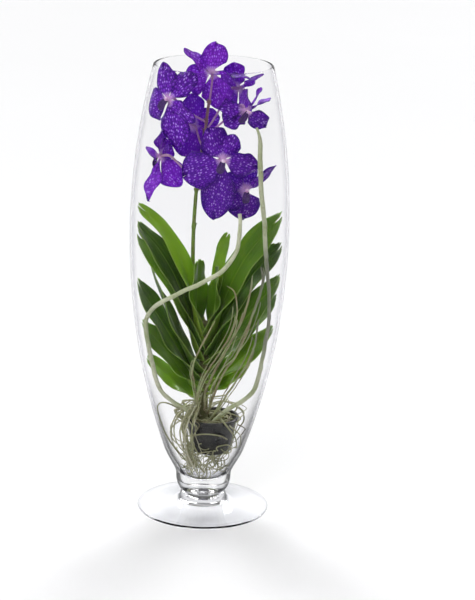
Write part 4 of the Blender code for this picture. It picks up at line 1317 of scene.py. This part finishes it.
def drapedPath(rng):
    left = rng.random() < tangle["leftShare"]
    azimuth = rng.uniform(138, 252) if left else rng.uniform(-42, 80)
    start = onStem(azimuth + rng.uniform(-30, 30), potRim + rng.uniform(0.001, 0.022))
    over = pot["centre"] + direction(azimuth) * (pot["topRadius"] + rng.uniform(0.003, 0.019))
    over.z = potRim + rng.uniform(0.002, 0.012)
    middle = start.lerp(over, 0.5) + Vector((0, 0, rng.uniform(0.0, 0.010)))
    points = [start, middle, over]
    swing, wave = rng.uniform(-24, 24), rng.uniform(0, 6.28)
    low = rng.uniform(0.044, 0.070)
    for i in range(1, 9):
        t = i / 8
        height = blend(over.z, low, t)
        turned = azimuth + swing * t + 9 * math.sin(5 * t + wave)
        reach = blend(pot["topRadius"] + 0.006, rng.uniform(0.010, 0.026), t ** 1.5)
        spot = pot["centre"] * (1 - t) + direction(turned) * reach
        spot.z = height
        points.append(spot)
    curl = rng.uniform(0.004, 0.010)
    for i in range(1, 6):
        turn = direction(azimuth + swing + 180 + 60 * i)
        points.append(points[-1] + turn * curl + Vector((0, 0, rng.uniform(-0.003, 0.005))))
    return points


def curlPath(rng):
    height = rng.uniform(0.050, 0.078)
    room = max(0.004, innerRadius(height) - 0.012)
    centre = direction(rng.uniform(0, 360)) * room * rng.random() ** 0.5
    centre.z = height
    front = rng.random() < tangle["frontShare"]
    if front:
        centre = pot["centre"] + direction(rng.uniform(225, 325)) * (pot["bottomRadius"] + 0.004)
        centre.z = pot["floor"] + rng.uniform(-0.004, 0.014)
    axis = randomVector(rng).normalized()
    first = axis.orthogonal().normalized()
    second = axis.cross(first)
    size, turns = rng.uniform(0.007, 0.016), rng.uniform(0.5, 1.1)
    drift = randomVector(rng, 0.012)
    points = []
    for i in range(17):
        t = i / 16
        angle = 2 * math.pi * turns * t
        spot = centre + first * size * math.cos(angle) + second * size * math.sin(angle) + drift * (t - 0.5)
        spot.z = max(spot.z, tangle["lowest"])
        if not front:
            spot.z = min(spot.z, pot["floor"] - 0.001)
        points.append(spot)
    return points


def loopPath(rng):
    # a root that bows out beside the pot and comes back in low down
    azimuth = rng.choice((rng.uniform(-50, 30), rng.uniform(170, 215)))
    top = potRim + rng.uniform(-0.012, 0.014)
    bottom = rng.uniform(0.070, 0.095)
    points = []
    for i in range(13):
        t = i / 12
        height = blend(top, bottom, t)
        reach = pot["topRadius"] + 0.002 + 0.016 * math.sin(math.pi * t) ** 0.7
        spot = pot["centre"] * 0.7 + direction(azimuth + 34 * (t - 0.5)) * reach
        spot.z = height
        points.append(spot)
    return points


def nestPath(rng):
    turnStart, reach = rng.uniform(0, 360), rng.uniform(0.012, 0.028)
    sweepAngle = rng.uniform(90, 260)
    return [Vector((pot["centre"].x, pot["centre"].y, potRim - rng.uniform(0.001, 0.006)))
            + direction(turnStart + sweepAngle * i / 10) * (reach + 0.003 * math.sin(i)) for i in range(11)]


def buildTangle():
    rng = random.Random(tangle["seed"])
    lines = []
    for shape, count in ((drapedPath, tangle["draped"]), (curlPath, tangle["curls"]),
                         (loopPath, tangle["loops"]), (nestPath, tangle["inPot"])):
        for _ in range(count):
            radius = rng.uniform(tangle["thin"], tangle["thick"])
            path = smoothPath(shape(rng), 0.003)
            if shape is not nestPath:
                path = [point if point.z > potRim else fitBowl(point, radius) for point in path]
            last = len(path) - 1
            lines.append((path, [radius * (1.1 - 0.5 * i / last) for i in range(last + 1)]))
    for points in tangle["strays"]:
        path = [fitBowl(point, tangle["thick"]) for point in smoothPath([*map(fromMm, points)], 0.003)]
        lines.append((path, [tangle["thick"] * 0.9] * len(path)))
    obj = sweepShoots("rootTangle", lines, fineRoot, Spacing=0.0018, Wander=0.002, Wander_Size=0.016,
                      Knots=0.5, Knot_Size=0.006, Tone_Low=0.0, Tone_High=0.85, Sides=8, Seed=4)
    attach(obj, "silvery_root", "root_mass")


buildTangle()

# chips of bark that fill the pot round the plant's foot
bark = dict(chips=150, size=0.0034, depth=0.008, below=0.003, fromWall=0.006, roughness=0.18, seed=13)


def buildBark():
    rng = random.Random(bark["seed"])
    bm = bmesh.new()
    for _ in range(bark["chips"]):
        turned = direction(rng.uniform(0, 360))
        spot = pot["centre"] + turned * (pot["topRadius"] - bark["fromWall"]) * rng.random() ** 0.5
        spot.z = potRim - bark["below"] - bark["depth"] * rng.random()
        turn = Matrix.Rotation(rng.uniform(0, 6.28), 4, randomVector(rng).normalized())
        flatten = Matrix.Diagonal([rng.uniform(*span) for span in ((0.8, 1.6), (0.6, 1.1), (0.3, 0.6))] + [1])
        made = bmesh.ops.create_icosphere(bm, subdivisions=1, radius=bark["size"] * rng.uniform(0.6, 1.2),
                                          matrix=Matrix.Translation(spot) @ turn @ flatten)
        for vert in made["verts"]:
            vert.co += randomVector(rng) * bark["size"] * bark["roughness"]
    attach(addMesh(bm, "barkChips", [stemBark]), "green_stem")


buildBark()
print("root tangle and bark ready")

# floor, light and camera
stage = dict(
    floorSize=24.0, floorColour=(0.86, 0.86, 0.865), floorPatches=(0.90, 0.90, 0.905), sunPower=1.62,
    sunTilt=48.0, sunTurns=(30.0, -26.0), sunSoftness=24.0, fillPower=28.0, fillSize=1.8,
    fillSpot=(-0.9, -2.0, 2.4), fillAim=(0, 0, 0.35), front=0.32, back=0.98, side=0.28, top=0.22)


def buildStage():
    bm = bmesh.new()
    bmesh.ops.create_grid(bm, x_segments=1, y_segments=1, size=stage["floorSize"] / 2)
    floorMaterial, tree, shader = newMaterial("paleFloor", 0.55)
    grain = useGroup(tree, mottleGroup, Place=objectPlace(tree), Size=1.5)
    tree.links.new(mixColour(tree, grain["Blotches"], stage["floorColour"], stage["floorPatches"]),
                   shader.inputs["Base Color"])
    floor = addMesh(bm, "floor", [floorMaterial])
    world = bpy.data.worlds.new("studio")
    scene.world = world
    world.use_nodes = True
    tree = world.node_tree
    sky = tree.nodes["Background"]
    split = parts(tree, tree.nodes.new("ShaderNodeTexCoord").outputs["Generated"])
    front, back, side, top = ((stage[name], stage[name], stage[name] * 1.01)
                              for name in ("front", "back", "side", "top"))
    colour = mixColour(tree, remap(tree, split["Y"], -0.15, 0.35), front, back)
    sideways = maths(tree, "ABSOLUTE", split["X"])
    colour = mixColour(tree, remap(tree, sideways, 0.45, 0.85), colour, side)
    colour = mixColour(tree, remap(tree, split["Z"], 0.45, 0.7), colour, top)
    tree.links.new(colour, sky.inputs["Color"])
    for turn in stage["sunTurns"]:
        sun = bpy.data.lights.new("sun", "SUN")
        sun.energy = stage["sunPower"]
        sun.angle = math.radians(stage["sunSoftness"])
        sunObj = bpy.data.objects.new("sun", sun)
        sunObj.rotation_euler = (-math.radians(stage["sunTilt"]), 0, math.radians(turn))
        scene.collection.objects.link(sunObj)
    fill = bpy.data.lights.new("fill", "AREA")
    fill.energy, fill.size = stage["fillPower"], stage["fillSize"]
    fillObj = bpy.data.objects.new("fill", fill)
    fillObj.location = stage["fillSpot"]
    aim = Vector(stage["fillAim"]) - Vector(stage["fillSpot"])
    fillObj.rotation_euler = aim.to_track_quat("-Z", "Y").to_euler()
    scene.collection.objects.link(fillObj)


view = dict(spot=(0, -2.68, 1.05), lens=127.33, pitch=15.857, yaw=0.8346, roll=1.6962)


def buildCamera():
    pitch, yaw, roll = (math.radians(view[name]) for name in ("pitch", "yaw", "roll"))
    ahead = Vector((math.sin(yaw) * math.cos(pitch), math.cos(yaw) * math.cos(pitch), -math.sin(pitch)))
    right = ahead.cross(Vector((0, 0, 1))).normalized()
    up = right.cross(ahead)
    turnedRight = right * math.cos(roll) + up * math.sin(roll)
    turnedUp = up * math.cos(roll) - right * math.sin(roll)
    camera = bpy.data.cameras.new("camera")
    camera.sensor_fit = "VERTICAL"
    camera.sensor_height = 36
    camera.lens = view["lens"]
    obj = bpy.data.objects.new("camera", camera)
    scene.collection.objects.link(obj)
    matrix = Matrix((turnedRight, turnedUp, -ahead)).transposed().to_4x4()
    matrix.translation = Vector(view["spot"])
    obj.matrix_world = matrix
    scene.camera = obj


buildStage()
buildCamera()
scene.view_settings.view_transform = "Standard"
print("stage ready")
